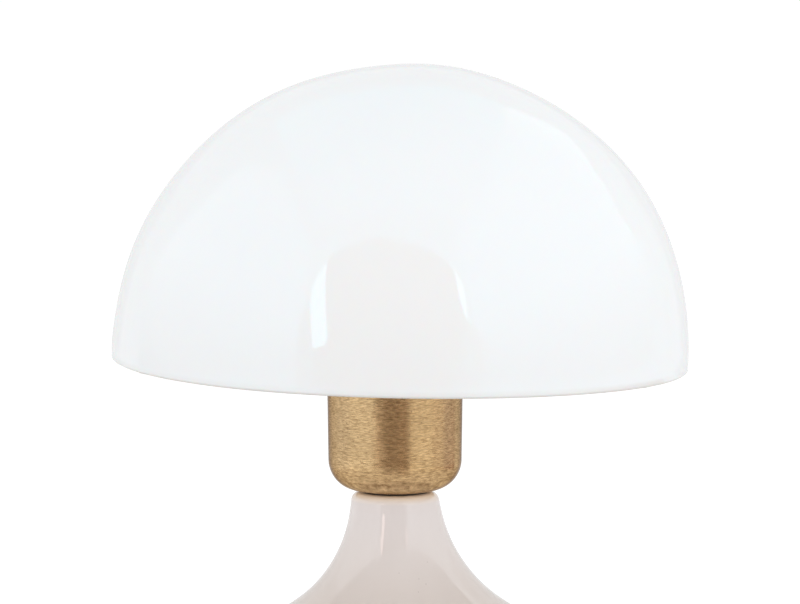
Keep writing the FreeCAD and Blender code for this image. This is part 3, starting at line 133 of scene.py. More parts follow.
def start_material(name, **values):
    """A material with its shader, and where each point lies on the lamp, in metres."""
    made = bpy.data.materials.new(name)
    made.use_nodes = True
    tree = made.node_tree
    shader = tree.nodes["Principled BSDF"]
    for socket, value in values.items():
        shader.inputs[socket.replace("_", " ")].default_value = value
    place = add(tree, "ShaderNodeTexCoord").outputs["Object"]
    return made, tree, shader, place


# %% Patterns and reliefs
def cloud(tree, place, scale, detail=3.0, roughness=0.5):
    """Soft random variation from 0 to 1; scale is how many patches there are in a metre."""
    inputs = {"Vector": place, "Scale": scale, "Detail": detail, "Roughness": roughness}
    return add(tree, "ShaderNodeTexNoise", inputs).outputs["Fac"]


def spread(tree, factor, low, high, from_low=0.3, from_high=0.7):
    """Stretches a variation between two numbers. Noise seldom leaves the range 0.3 to 0.7."""
    inputs = {"Value": factor, "From Min": from_low, "From Max": from_high,
              "To Min": low, "To Max": high}
    return add(tree, "ShaderNodeMapRange", inputs).outputs["Result"]


def between(tree, factor, first, second):
    """Mixes two colours, or two outputs that carry colours."""
    mixer = add(tree, "ShaderNodeMix", data_type="RGBA")
    for name, value in (("Factor", factor), ("A", first), ("B", second)):
        kind = "Factor_Float" if name == "Factor" else f"{name}_Color"
        socket = next(item for item in mixer.inputs if item.identifier == kind)
        if isinstance(value, bpy.types.NodeSocket):
            tree.links.new(value, socket)
        else:
            socket.default_value = value
    return next(item for item in mixer.outputs if item.identifier == "Result_Color")


def relief(tree, shader, height, distance, strength=1.0, under=None):
    """Turns a height pattern into bumps; distance is the height in metres."""
    inputs = {"Height": height, "Distance": distance, "Strength": strength}
    if under is not None:
        inputs["Normal"] = under
    bump = add(tree, "ShaderNodeBump", inputs)
    tree.links.new(bump.outputs["Normal"], shader.inputs["Normal"])
    return bump.outputs["Normal"]


def stretched(tree, place, scale):
    """The place with each axis scaled on its own, which stretches the pattern on it."""
    inputs = {"Vector": place, "Scale": scale}
    return add(tree, "ShaderNodeMapping", inputs, vector_type="POINT").outputs["Vector"]


def colour(red, green, blue):
    return (red, green, blue, 1.0)


# %% [markdown]
# ## Opal glass
#
# Opal glass is white through and through, with a skin as glossy as clear glass. It could be
# made with real transmission, but light scatters so soon inside it that a bright, slightly
# subsurface shader looks the same and renders clean. Its colour drifts by a hair, and its
# gloss breaks up a little where hands have touched it. The ground rim is matt, and its colour
# is painted a warm grey: painted shade where it turns down from the light, with a painted
# reflection of the brass. So the mesh carries a number for the rim that is 1 there and 0 on
# the polished skin.

# %% Make the opal glass
def opal_glass():
    made, tree, shader, place = start_material("opal_glass", IOR=1.5)
    shader.inputs["Specular Tint"].default_value = colour(0.35, 0.9, 1.2)
    shader.inputs["Subsurface Weight"].default_value = 0.15
    shader.inputs["Subsurface Scale"].default_value = 0.004
    drift = cloud(tree, place, 14, detail=2)
    tint = between(tree, drift, colour(0.876, 0.880, 0.884), colour(0.888, 0.890, 0.892))
    # The rim mask makes the ground rim matt, and paints painted shade and a painted reflection of
    # the brass into its colour as a warm grey.
    ground_and_shaded_rim = add(tree, "ShaderNodeAttribute", attribute_name="ground_and_shaded_rim").outputs["Fac"]
    shade = between(tree, ground_and_shaded_rim, tint, colour(0.70, 0.66, 0.62))
    tree.links.new(shade, shader.inputs["Base Color"])
    haze = cloud(tree, place, 38, detail=4)
    polish = add(tree, "ShaderNodeMath", {0: ground_and_shaded_rim, 1: 0.4, 2: spread(tree, haze, 0.015, 0.04)},
                 operation="MULTIPLY_ADD")
    tree.links.new(polish.outputs["Value"], shader.inputs["Roughness"])
    relief(tree, shader, cloud(tree, place, 60, detail=1), 0.000006)
    return made


opal = opal_glass()
print("made", opal.name)

# %% [markdown]
# ## Antique brass
#
# The cup was spun on a lathe and rubbed down while it turned, so every scratch runs round it.
# The scratches stretch a highlight along the cup's axis, which the shader's anisotropy does;
# their grain comes from a noise pattern that is squeezed along the height and left long
# around the wall. On the flat bottom the height stands still, so the pattern also counts the
# distance from the axis. Age adds darker clouds and small black specks. The lowest few
# millimetres are painted brighter, a painted reflection of the light mirrored there.

# %% Lay the brush marks
def across_the_brush(tree, place, along, across):
    """Coordinates whose pattern lies in long thin streaks round the axis."""
    parts = add(tree, "ShaderNodeSeparateXYZ", {"Vector": place})
    flat = add(tree, "ShaderNodeCombineXYZ", {"X": parts.outputs["X"], "Y": parts.outputs["Y"]})
    reach = add(tree, "ShaderNodeVectorMath", {0: flat.outputs["Vector"]}, operation="LENGTH")
    height = add(tree, "ShaderNodeMath", {0: parts.outputs["Z"], 1: reach.outputs["Value"]},
                 operation="SUBTRACT")
    whole = add(tree, "ShaderNodeCombineXYZ", {"X": parts.outputs["X"], "Y": parts.outputs["Y"],
                                               "Z": height.outputs["Value"]})
    return stretched(tree, whole.outputs["Vector"], (along, along, across))


# %% Make the brass
# Between these two heights the lowest few millimetres of the cup are painted brighter: a painted
# reflection.
painted_highlight_full = cup_low + 1.5 * MM
painted_highlight_none = cup_low + 6 * MM


def antique_brass():
    made, tree, shader, place = start_material("antique_brass", Metallic=1.0, Anisotropic=0.75,
                                                Anisotropic_Rotation=0.25)
    shader.inputs["Specular Tint"].default_value = colour(0.45, 0.42, 0.42)
    fine = cloud(tree, across_the_brush(tree, place, 330, 2100), 1, detail=3, roughness=0.6)
    broad = cloud(tree, across_the_brush(tree, place, 35, 500), 1, detail=2)
    age = cloud(tree, place, 45, detail=3)
    grain = spread(tree, fine, 0, 1)
    brushed = between(tree, grain, colour(0.30, 0.19, 0.09), colour(0.84, 0.60, 0.335))
    aged = between(tree, spread(tree, age, 0, 0.3), brushed, colour(0.36, 0.25, 0.14))
    speck_cells = add(tree, "ShaderNodeTexVoronoi", {"Vector": place, "Scale": 420.0})
    speck = spread(tree, speck_cells.outputs["Distance"], 1, 0, 0.05, 0.16)
    patchy = add(tree, "ShaderNodeMath", {0: speck, 1: spread(tree, age, 0, 1, 0.5, 0.62)},
                 operation="MULTIPLY")
    # A painted reflection: a brighter brass is mixed in over the lowest few millimetres of the cup.
    painted_bright_bottom = between(tree, grain, colour(0.46, 0.31, 0.16), colour(1.0, 0.74, 0.42))
    height = add(tree, "ShaderNodeSeparateXYZ", {"Vector": place}).outputs["Z"]
    low = spread(tree, height, 1, 0, painted_highlight_full, painted_highlight_none)
    worn = between(tree, low, aged, painted_bright_bottom)
    final = between(tree, patchy.outputs["Value"], worn, colour(0.10, 0.065, 0.04))
    tree.links.new(final, shader.inputs["Base Color"])
    tree.links.new(spread(tree, broad, 0.20, 0.30), shader.inputs["Roughness"])
    around = add(tree, "ShaderNodeTangent", direction_type="RADIAL", axis="Z")
    tree.links.new(around.outputs["Tangent"], shader.inputs["Tangent"])
    relief(tree, shader, fine, 0.00005, 0.6)
    return made


brass = antique_brass()
print("made", brass.name)

# %% [markdown]
# ## Glazed ceramic
#
# The base is pinkish beige under a thick clear gloss. Its colour is painted paler up the neck,
# palest on its lip, and deeper below: painted light on the neck and lip, painted shade on the
# lower base. It isn't quite level either: reflections in it waver, and it carries faint
# mottling and a few pinholes. The gloss is the shader's own; only the colour, the ripple and
# the pinholes are patterns. Heights are in metres above the table.

# %% Make the glaze
# Painted light and shade: between the first two heights the colour turns from deeper below to paler
# above, and between the last two the lip is painted palest.
painted_shade_below, painted_light_above = 0.125, 0.17
painted_lip_light_starts, painted_lip_light_full = 0.1745, 0.178


def glazed_ceramic():
    made, tree, shader, place = start_material("glazed_base", IOR=1.52, Roughness=0.02)
    mottle = cloud(tree, place, 70, detail=4, roughness=0.6)
    thin = between(tree, mottle, colour(0.82, 0.755, 0.738), colour(0.85, 0.785, 0.77))
    thick = between(tree, mottle, colour(0.765, 0.678, 0.625), colour(0.795, 0.71, 0.66))
    height = add(tree, "ShaderNodeSeparateXYZ", {"Vector": place}).outputs["Z"]
    # Painted light and shade: the paler tint rises with height up the neck.
    painted_light_and_shade = between(tree, spread(tree, height, 0, 1, painted_shade_below, painted_light_above), thick, thin)
    painted_lip_light = spread(tree, height, 0, 1, painted_lip_light_starts, painted_lip_light_full)
    # Painted light: the lip is painted palest of all.
    body = between(tree, painted_lip_light, painted_light_and_shade, colour(0.97, 0.86, 0.76))
    pores = add(tree, "ShaderNodeTexVoronoi", {"Vector": place, "Scale": 160.0})
    pore = spread(tree, pores.outputs["Distance"], 1, 0, 0.03, 0.06)
    chosen = spread(tree, cloud(tree, place, 25), 0, 0.5, 0.56, 0.62)
    speck = add(tree, "ShaderNodeMath", {0: pore, 1: chosen}, operation="MULTIPLY")
    tint = between(tree, speck.outputs["Value"], body, colour(0.36, 0.28, 0.24))
    tree.links.new(tint, shader.inputs["Base Color"])
    relief(tree, shader, cloud(tree, place, 32, detail=1), 0.00004)
    return made


glaze = glazed_ceramic()
print("made", glaze.name)

# %% [markdown]
# ## Plain finishes for the smaller pieces
#
# Moulded, enamelled and rubber pieces all look alike in one way: an even colour that drifts a
# little, a roughness that isn't the same everywhere, and a fine grain. One function makes them
# all from those few numbers, so that each material below is a single readable line.

# %% Make the moulded and painted finishes
fine_grain = 900.0


def plain_finish(name, shade, drift=0.06, roughness=(0.35, 0.5), depth=0.00002, **values):
    """An even finish: colour drift as a share, a range of roughness, and the depth of its grain."""
    made, tree, shader, place = start_material(name, **values)
    patches = cloud(tree, place, 55, detail=3)
    darker = colour(*[part * (1 - drift) for part in shade])
    lighter = colour(*[min(part * (1 + drift), 1.0) for part in shade])
    tint = between(tree, patches, darker, lighter)
    tree.links.new(tint, shader.inputs["Base Color"])
    worn = cloud(tree, place, 140, detail=4)
    tree.links.new(spread(tree, worn, *roughness), shader.inputs["Roughness"])
    relief(tree, shader, cloud(tree, place, fine_grain, detail=2), depth)
    return made


finishes = {
    "black_rubber": plain_finish("black_rubber", (0.022, 0.022, 0.022), roughness=(0.5, 0.7)),
    "silicone": plain_finish("silicone", (0.78, 0.78, 0.76), roughness=(0.35, 0.5), depth=0.00001),
    "white_enamel": plain_finish("white_enamel", (0.80, 0.80, 0.785), 0.02, (0.25, 0.38)),
    "black_phenolic": plain_finish("black_phenolic", (0.024, 0.023, 0.021), roughness=(0.16, 0.3)),
    "porcelain": plain_finish("porcelain", (0.78, 0.77, 0.73), roughness=(0.4, 0.6)),
    "bulb_white": plain_finish("bulb_white", (0.80, 0.80, 0.785), 0.02, (0.4, 0.55)),
    "bulb_opal": plain_finish("bulb_opal", (0.84, 0.84, 0.825), 0.02, (0.3, 0.42)),
    "board_white": plain_finish("board_white", (0.76, 0.77, 0.74), roughness=(0.3, 0.4)),
    "board_green": plain_finish("board_green", (0.03, 0.14, 0.07), roughness=(0.25, 0.4)),
    "vitrite": plain_finish("vitrite", (0.012, 0.012, 0.016), roughness=(0.06, 0.14)),
    "solder": plain_finish("solder", (0.52, 0.52, 0.50), roughness=(0.35, 0.5), Metallic=1.0),
    "block_nylon": plain_finish("block_nylon", (0.70, 0.69, 0.63), roughness=(0.4, 0.5)),
    "lead_brown": plain_finish("lead_brown", (0.11, 0.045, 0.02), roughness=(0.3, 0.42)),
    "lead_white": plain_finish("lead_white", (0.72, 0.72, 0.70), roughness=(0.3, 0.42)),
}
print("made", len(finishes), "plain finishes")

# %% [markdown]
# ## Metals turned on a lathe
#
# Nuts, washers, the stem and the drawn sheet of the bulb's cap share one recipe: a metal with
# fine rings round the axis and a mottled roughness. Zinc plating adds a crystal-like mottling.

# %% Make the turned metals
def turned_metal(name, shade, roughness=(0.25, 0.4), mottling=0.15):
    """A metal with rings round its axis; mottling is the share by which its colour darkens."""
    made, tree, shader, place = start_material(name, Metallic=1.0)
    rings = cloud(tree, across_the_brush(tree, place, 40, 3000), 1, detail=2)
    crystals = add(tree, "ShaderNodeTexVoronoi", {"Vector": place, "Scale": 700.0})
    darker = colour(*[part * (1 - mottling) for part in shade])
    tint = between(tree, crystals.outputs["Distance"], colour(*shade), darker)
    tree.links.new(tint, shader.inputs["Base Color"])
    tree.links.new(spread(tree, rings, *roughness), shader.inputs["Roughness"])
    relief(tree, shader, rings, 0.00001, 0.5)
    return made


finishes["zinc_steel"] = turned_metal("zinc_steel", (0.56, 0.56, 0.54))
finishes["contact_brass"] = turned_metal("contact_brass", (0.72, 0.52, 0.24), (0.2, 0.34))
finishes["nickel"] = turned_metal("nickel", (0.66, 0.64, 0.60), (0.12, 0.24), 0.05)
print("made the metals; there are", len(finishes), "finishes now")

# %% [markdown]
# ## Felt
#
# Pressed felt is a mat of short fibres. Two noise patterns at different scales stand for the
# fibres and for the thin and thick places between them, with a soft sheen from loose ends.

# %% Make the felt
def pressed_felt():
    made, tree, shader, place = start_material("felt", Roughness=0.95)
    shader.inputs["Sheen Weight"].default_value = 0.4
    fibres = cloud(tree, place, 1500, detail=6, roughness=0.8)
    tufts = cloud(tree, place, 180, detail=3)
    mixed = add(tree, "ShaderNodeMath", {0: fibres, 1: tufts}, operation="MULTIPLY")
    tint = between(tree, spread(tree, mixed.outputs["Value"], 0, 1, 0.1, 0.4),
                   colour(0.03, 0.03, 0.03), colour(0.10, 0.10, 0.098))
    tree.links.new(tint, shader.inputs["Base Color"])
    relief(tree, shader, mixed.outputs["Value"], 0.0004, 0.9)
    return made


finishes["felt"] = pressed_felt()
finishes["opal_glass"] = opal
finishes["antique_brass"] = brass
finishes["glazed_base"] = glaze
print("made the felt; with the first three there are", len(finishes), "finishes")

# %% [markdown]
# ## Dress the frame
#
# Each piece of the frame names its finish. Assigning the new materials to the frame's own
# slots keeps every edge and thread as constructed, which is right for rigid pieces.

# %% Put the finishes on the frame's pieces
slot_of = {part["node"]: part["material_slot"] for part in frame["record"]["subparts"]}
for node_name, piece in frame["nodes"].items():
    for material_slot in piece.material_slots:
        material_slot.material = finishes[slot_of[node_name]]
print("dressed", len(frame["nodes"]), "pieces")

# %% [markdown]
# ## The thrown base
#
# A base thrown by hand is never quite true: the flare of this one stands a little to the
# right of its neck. Turning it again from an outline would lose the constructed inside, so we
# bend a copy instead: each point moves sideways by an amount that depends on its height alone.
# The neck's top and the foot stay where other pieces meet them.

# %% Bend the base
lean_top = 177 * MM
lean_slope = 0.0432
bend_from, bend_to = 50 * MM, 125 * MM


def sideways_at(height):
    """How far the base stands to the right: a straight lean that fades out above the foot."""
    kept = min(max((height - bend_from) / (bend_to - bend_from), 0.0), 1.0)
    return lean_slope * max(lean_top - height, 0.0) * kept * kept * (3 - 2 * kept)


built_base = frame["nodes"]["ceramic_base"]
base = built_base.copy()
base.data = built_base.data.copy()
base.name = base.data.name = "thrown_base"
bpy.context.scene.collection.objects.link(base)
for vertex in base.data.vertices:
    vertex.co.x += sideways_at(vertex.co.z)
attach(base, "lamp")
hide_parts("ceramic_base")
furthest = max(sideways_at(vertex.co.z) for vertex in built_base.data.vertices)
print("bent the base by up to", round(furthest / MM, 1), "mm")

# %% [markdown]
# ## The hand-blown dome
#
# A mould-blown dome follows a sphere, but never quite: the glass cools in slow waves that
# make its reflections waver. A bump map would only shade such waves, so the dome is turned
# as a mesh and its skin is pressed in by a fraction of a millimetre along a smooth noise.
# Inside and outside move together, which keeps the wall even. The rim is ground flat, rounded
# outside and bevelled inside, and the dome leans by as much as it does on its carrier. Soft
# glass also sags before it sets: this crown is a little flat and tips to one side. The
# rim was ground by hand, and climbs by a good millimetre at its left end, above which the
# left flank is drawn in a little and swells out again.

# %% Turn a skin from an outline
on_axis = 1e-7


def arc(centre, radius, start, end, steps):
    """Points of an arc in the half plane of radius and height; angles in degrees."""
    points = []
    for step in range(steps + 1):
        angle = math.radians(start + (end - start) * step / steps)
        points.append((centre[0] + radius * math.cos(angle), centre[1] + radius * math.sin(angle)))
    return points


def lathe(name, outline, steps=192):
    """A skin turned round Z. An outline's point on the axis becomes one vertex."""
    corners, rows = [], []
    for reach, height in outline:
        if reach < on_axis:
            rows.append([len(corners)] * steps)
            corners.append((0, 0, height))
            continue
        rows.append(list(range(len(corners), len(corners) + steps)))
        for step in range(steps):
            turn = math.tau * step / steps
            corners.append((reach * math.cos(turn), reach * math.sin(turn), height))
    faces = []
    for upper, lower in zip(rows, rows[1:]):
        for step in range(steps):
            following = (step + 1) % steps
            ring = [upper[step], lower[step], lower[following], upper[following]]
            face = [corner for place, corner in enumerate(ring) if corner not in ring[:place]]
            if len(face) > 2:
                faces.append(face)
    mesh = bpy.data.meshes.new(name)
    mesh.from_pydata(corners, [], faces)
    mesh.validate()
    mesh.shade_smooth()
    piece = bpy.data.objects.new(name, mesh)
    bpy.context.scene.collection.objects.link(piece)
    return piece


# %% Draw the dome's outline
dome_radius = 152.7 * MM
dome_wall = 4.0 * MM
dome_rise = 8.4 * MM
rim_round = 1.5 * MM
rim_bevel = 1.7 * MM


def dome_outline():
    """The dome's half section, from the top down outside and back up to the top inside."""
    centre = (0, rim_lift + dome_rise)
    inner_radius = dome_radius - dome_wall
    round_drop = dome_rise - rim_round
    round_angle = math.degrees(math.asin(round_drop / (dome_radius - rim_round)))
    round_reach = math.sqrt((dome_radius - rim_round) ** 2 - round_drop ** 2)
    bevel_angle = math.degrees(math.asin((dome_rise - rim_bevel) / inner_radius))
    bevel_reach = inner_radius * math.cos(math.radians(bevel_angle))
    outside = arc(centre, dome_radius, 90, -round_angle, 96)
    rounding = arc((round_reach, rim_lift + rim_round), rim_round, -round_angle, -90, 6)[1:]
    inside = arc(centre, inner_radius, -bevel_angle, 90, 90)
    return outside + rounding + [(bevel_reach + rim_bevel, rim_lift)] + inside


dome_section = dome_outline()
print("the dome's outline has", len(dome_section), "points")

# %% [markdown]
# Each fault of the glass is a small shift that depends on where a point lies: `share` is its
# height as a share of the dome's, and `outward` points to it from the dome's middle. A power
# says how closely a shift keeps to its place: the higher the power, the closer.

# %% Blow the dome
dome_lean = math.radians(1.15)
dome_offset = 1.15 * MM
dome_seat = 0.3 * MM
sag_down, sag_power = 1.8 * MM, 4
sag_aside, sag_height, sag_spread = 2.4 * MM, 0.68, 0.34
crown_tip, crown_reach, crown_power = 6.2 * MM, 0.33, 6
flank_wave, flank_from, flank_length, flank_power = 0.66 * MM, 0.05, 0.72, 7
rim_climb, rim_zone, climb_power = 1.4 * MM, 20 * MM, 4
wave_depth, waves_per_metre = 0.25 * MM, 11.0
ground_over_rim = 1.2

dome = lathe("blown_dome", dome_section)
seated = Matrix.Translation((dome_offset, 0, cup_low + dome_seat))
leaned = seated @ Matrix.Rotation(dome_lean, 4, "Y")
dome_centre = Vector((0, 0, rim_lift + dome_rise))
# The rim mask: 1 on the ground rim, where the glass is matt and its colour carries painted shade.
ground_and_shaded_rim = dome.data.attributes.new("ground_and_shaded_rim", "FLOAT", "POINT")
for vertex in dome.data.vertices:
    outward = (vertex.co - dome_centre).normalized()
    over_rim = vertex.co.z - rim_lift
    above_rim = min(max(over_rim / rim_zone, 0.0), 1.0)
    share = over_rim / (dome_rise + dome_radius)
    wave = 0.5 + 0.5 * noise.noise(outward * dome_radius * waves_per_metre)
    aside = sag_aside * math.exp(-((share - sag_height) / sag_spread) ** 2)
    leftward = max(-outward.x, 0.0)
    climb = rim_climb * leftward ** climb_power * (1 - above_rim)
    crown = outward.x * math.exp(-(outward.x / crown_reach) ** 2)
    tip = crown_tip * crown * share ** crown_power
    along_flank = min(max((share - flank_from) / flank_length, 0.0), 1.0)
    flank = flank_wave * leftward ** flank_power * math.sin(math.tau * along_flank)
    sagged = Vector((aside + flank, 0, climb + tip - sag_down * share ** sag_power))
    vertex.co = leaned @ (vertex.co + sagged - outward * wave * wave_depth * above_rim)
    ground_and_shaded_rim.data[vertex.index].value = min(max(ground_over_rim - over_rim / rim_round, 0.0), 1.0)
dome.data.materials.append(opal)
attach(dome, "shade")
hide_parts("shade_glass")
print("the dome has", len(dome.data.polygons), "faces")

# %% [markdown]
# ## The studio
#
# White glass on a white ground is shaped by its reflections alone. The lamp stood in a tent
# of white cloth: a lit wall on each side and a lit ceiling, with a dark opening in front
# where the camera looked in, and a bright slit on each side of that opening. Mirrored in the
# dome, the opening is the grey patch down its middle. We hang each wall as a glowing card
# that only reflections see, because then its shape can be set without changing how evenly
# the lamp is lit.
#
# Where should a card's corners go? The picture tells: we note where a corner shows in the
# dome, follow the camera's line of sight to the glass, bounce it there, and see where it
# meets the plane of the card. This is the way light goes, walked backwards. The place of each
# corner below is in pixels of the picture, across and down.

# %% Follow a line of sight to the dome and on
dome_middle = leaned @ dome_centre
SIDE, FRONT = 0, 1


def seen_in_dome(across_px, down_px, axis, reach):
    """What the dome mirrors at a place of the picture: a point of the plane that lies `reach`
    along an axis."""
    sideways = (across_px - picture_width_px / 2) / pixels_per_mm * MM
    upwards = (picture_height_px / 2 - down_px) / pixels_per_mm * MM
    view = Vector((sideways, upwards, -(aim - camera_place).length))
    look = (camera.rotation_euler.to_matrix() @ view).normalized()
    nearest = (dome_middle - camera_place).dot(look)
    depth = math.sqrt(nearest ** 2 - (dome_middle - camera_place).length_squared + dome_radius ** 2)
    met = camera_place + look * (nearest - depth)
    bounced = look.reflect((met - dome_middle).normalized())
    return met + bounced * ((reach - met[axis]) / bounced[axis])


# %% Make a glowing card
fade_height = 0.8


def wall(name, corners, glow, foot_glow=None):
    """A card seen only in reflections. Glows are colours whose parts may be over 1."""
    mesh = bpy.data.meshes.new(name)
    mesh.from_pydata(corners, [], [list(range(len(corners)))])
    made = bpy.data.objects.new(name, mesh)
    bpy.context.scene.collection.objects.link(made)
    skin = bpy.data.materials.new(name)
    skin.use_nodes = True
    skin.node_tree.nodes.clear()
    emission = add(skin.node_tree, "ShaderNodeEmission", {"Color": colour(*glow), "Strength": 1.0})
    output = add(skin.node_tree, "ShaderNodeOutputMaterial")
    skin.node_tree.links.new(emission.outputs["Emission"], output.inputs["Surface"])
    if foot_glow:
        place = add(skin.node_tree, "ShaderNodeTexCoord").outputs["Object"]
        height = add(skin.node_tree, "ShaderNodeSeparateXYZ", {"Vector": place}).outputs["Z"]
        fade = spread(skin.node_tree, height, 0, 1, 0, fade_height)
        faded = between(skin.node_tree, fade, colour(*foot_glow), colour(*glow))
        skin.node_tree.links.new(faded, emission.inputs["Color"])
    mesh.materials.append(skin)
    made.visible_camera = False
    made.visible_diffuse = False
    made.visible_shadow = False
    made.visible_transmission = False
    made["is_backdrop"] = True
    return made


def wall_by_picture(name, outline_px, axis, reach, glow, foot_glow=None):
    """A card whose corners show in the dome at these places of the picture."""
    corners = [seen_in_dome(across, down, axis, reach) for across, down in outline_px]
    return wall(name, corners, glow, foot_glow)


def level_corners(half_width, front, back, height):
    """The corners of a level sheet that lies across the middle."""
    return [(-half_width, front, height), (half_width, front, height),
            (half_width, back, height), (-half_width, back, height)]


# %% Hang the walls of the tent
tent_half = 1.25
roof_half, roof_height = 1.6, 2.9
far_half, far_front, far_back, far_top = 1.5, 1.2, 2.2, 1.0
cloth_white = (0.88, 0.88, 0.88)
wall_foot = (0.65, 0.65, 0.65)
cloth_lift, card_lift = 0.002, 0.003

left_wall_px = [
    (139, 366), (140, 326), (145, 290), (158, 254), (176, 226), (200, 200), (224, 176),
    (244, 163), (276, 170), (286, 186), (298, 220), (309, 242), (308, 266), (301, 290),
    (298, 320), (297, 366),
]
right_wall_px = [
    (482, 378), (483, 350), (476, 326), (469, 300), (462, 276), (456, 254), (456, 230),
    (464, 214), (474, 194), (486, 174), (488, 130), (504, 104), (560, 130), (590, 170),
    (616, 216), (633, 242), (643, 262), (650, 290), (654, 330), (648, 362),
]
far_corners = [(-far_half, far_back, cloth_lift), (far_half, far_back, cloth_lift),
               (far_half, far_back, far_top), (-far_half, far_back, far_top)]
tent = [
    wall_by_picture("left_wall", left_wall_px, SIDE, -tent_half, (1.32, 1.36, 1.38), wall_foot),
    wall_by_picture("right_wall", right_wall_px, SIDE, tent_half, (1.36, 1.40, 1.42), wall_foot),
    wall("ceiling_front", level_corners(roof_half, -1.5, 0.0, roof_height), (1.15, 1.20, 1.23)),
    wall("ceiling_back", level_corners(roof_half, 0.0, 2.8, roof_height), (0.98, 1.20, 1.25)),
    wall("far_cloth", far_corners, cloth_white),
    wall("far_floor", level_corners(tent_half, far_front, far_back, card_lift), cloth_white),
]
print("hung", len(tent), "cards round the lamp")

# %% [markdown]
# In front hang six smaller cards, one behind another and a centimetre or two apart, so that
# each covers what it should: the two bright slits are nearest to the lamp, then come the dark
# opening, the dim cards at its foot, and the pale cloth that surrounds it.

# %% Open the dark front
opening_px = [
    (316, 380), (313, 368), (312, 348), (326, 344), (327, 335), (325, 319), (324, 299),
    (324, 260), (328, 252), (333, 249), (344, 244), (359, 239), (376, 235), (393, 239),
    (413, 244), (427, 249), (440, 259), (451, 271), (454, 282), (459, 304), (464, 318),
    (467, 328), (465, 361), (460, 376), (454, 386), (446, 390), (337, 390), (324, 386),
]
surround_px = [
    (297, 390), (298, 320), (301, 290), (308, 266), (309, 242), (326, 236), (376, 229),
    (440, 246), (456, 254), (462, 276), (469, 300), (476, 326), (483, 350), (482, 390),
]
left_foot_px = [(297, 390), (298, 322), (303, 306), (309, 308), (320, 345), (340, 390)]
right_foot_px = [(440, 390), (455, 340), (469, 322), (477, 330), (483, 350), (482, 390)]
left_slit_px = [
    (324, 259), (316, 272), (310, 286), (309, 308), (310, 328), (312, 348), (324, 344),
    (327, 336), (325, 319), (324, 299),
]
right_slit_px = [
    (454, 271), (461, 284), (465, 299), (467, 316), (465, 319), (461, 306), (457, 292),
    (454, 279),
]
slit_glow = (4.4, 3.2, 2.9)
front = [
    wall_by_picture("surround", surround_px, FRONT, -1.48, (1.15, 1.15, 1.12)),
    wall_by_picture("left_foot", left_foot_px, FRONT, -1.46, (0.45, 0.42, 0.40)),
    wall_by_picture("right_foot", right_foot_px, FRONT, -1.46, (0.50, 0.47, 0.45)),
    wall_by_picture("dark_opening", opening_px, FRONT, -1.45, (0.16, 0.06, 0.0)),
    wall_by_picture("left_slit", left_slit_px, FRONT, -1.44, slit_glow),
    wall_by_picture("right_slit", right_slit_px, FRONT, -1.44, slit_glow),
]
print("hung", len(front), "cards in front")

# %% [markdown]
# The brass stands close to the floor and mirrors it far more than the dome does. What it shows
# from left to right is what lies round the lamp, so a few flat cards laid as parts of a ring
# set its bands: bright cloth on both sides, a dark middle where the photographer stood, and a
# warm, dim part on the right. The dark cards lie a millimetre above the others and cover them.

# %% Lay cards for the brass
floor_limit = 1.24
ring_steps = 12


def floor_card(name, near, far, start, stop, glow, height=card_lift):
    """Part of a ring on the floor, between two distances and two bearings. 0 faces the camera."""
    turns = [start + (stop - start) * step / ring_steps for step in range(ring_steps + 1)]
    path = [(near, turn) for turn in turns] + [(far, turn) for turn in reversed(turns)]
    corners = []
    for reach, turn in path:
        bearing = math.radians(turn)
        across, deep = reach * math.sin(bearing), -reach * math.cos(bearing)
        held = floor_limit / max(abs(across), floor_limit)
        corners.append((across * held, deep * held, height))
    return wall(name, corners, glow)


inner_edge, middle_edge, outer_edge = 0.11, 0.65, 1.4
dark_edge, dark_lift = 0.28, 0.004
warm_white = (0.95, 0.90, 0.83)
ring = [
    floor_card("near_front", inner_edge, middle_edge, -125, 125, warm_white),
    floor_card("near_back", inner_edge, middle_edge, 125, 235, warm_white),
    floor_card("left_side", middle_edge, outer_edge, -125, -85, (1.20, 1.20, 1.20)),
    floor_card("left_cloth", middle_edge, outer_edge, -85, -31, (1.55, 1.55, 1.45)),
    floor_card("dark_left", dark_edge, outer_edge, -31, -18, warm_white, dark_lift),
    floor_card("dark_middle", dark_edge, outer_edge, -18, 8, (0.65, 0.58, 0.52), dark_lift),
    floor_card("dark_right", dark_edge, outer_edge, 8, 24.5, (0.75, 0.64, 0.55), dark_lift),
    floor_card("right_cloth", middle_edge, outer_edge, 24.5, 68, (1.40, 1.28, 1.04)),
    floor_card("right_side", middle_edge, outer_edge, 68, 92, (1.00, 0.80, 0.60)),
    floor_card("right_back", middle_edge, outer_edge, 92, 125, (0.50, 0.30, 0.27)),
]
print("laid", len(ring), "cards out to", outer_edge, "m")

# %% [markdown]
# ## Light on the lamp
#
# The cloth spreads its light so evenly that hardly a shadow is left. An even white world does
# most of it. Four wide, weak lamps add what the walls and the ceiling throw more than the
# rest. Their own mirror images are switched off, since the cards already stand for them.

# %% Set the lamps
lit_place = Vector((0, 0, 0.25))


def soft_lamp(name, place, width, height, power):
    """A rectangle of light that faces the lamp; sizes in metres, power in watts."""
    data = bpy.data.lights.new(name, "AREA")
    data.shape = "RECTANGLE"
    data.size = width
    data.size_y = height
    data.energy = power
    made = bpy.data.objects.new(name, data)
    bpy.context.scene.collection.objects.link(made)
    made.location = place
    made.rotation_euler = (lit_place - Vector(place)).to_track_quat("-Z", "Y").to_euler()
    made.visible_camera = False
    made.visible_glossy = False
    return made


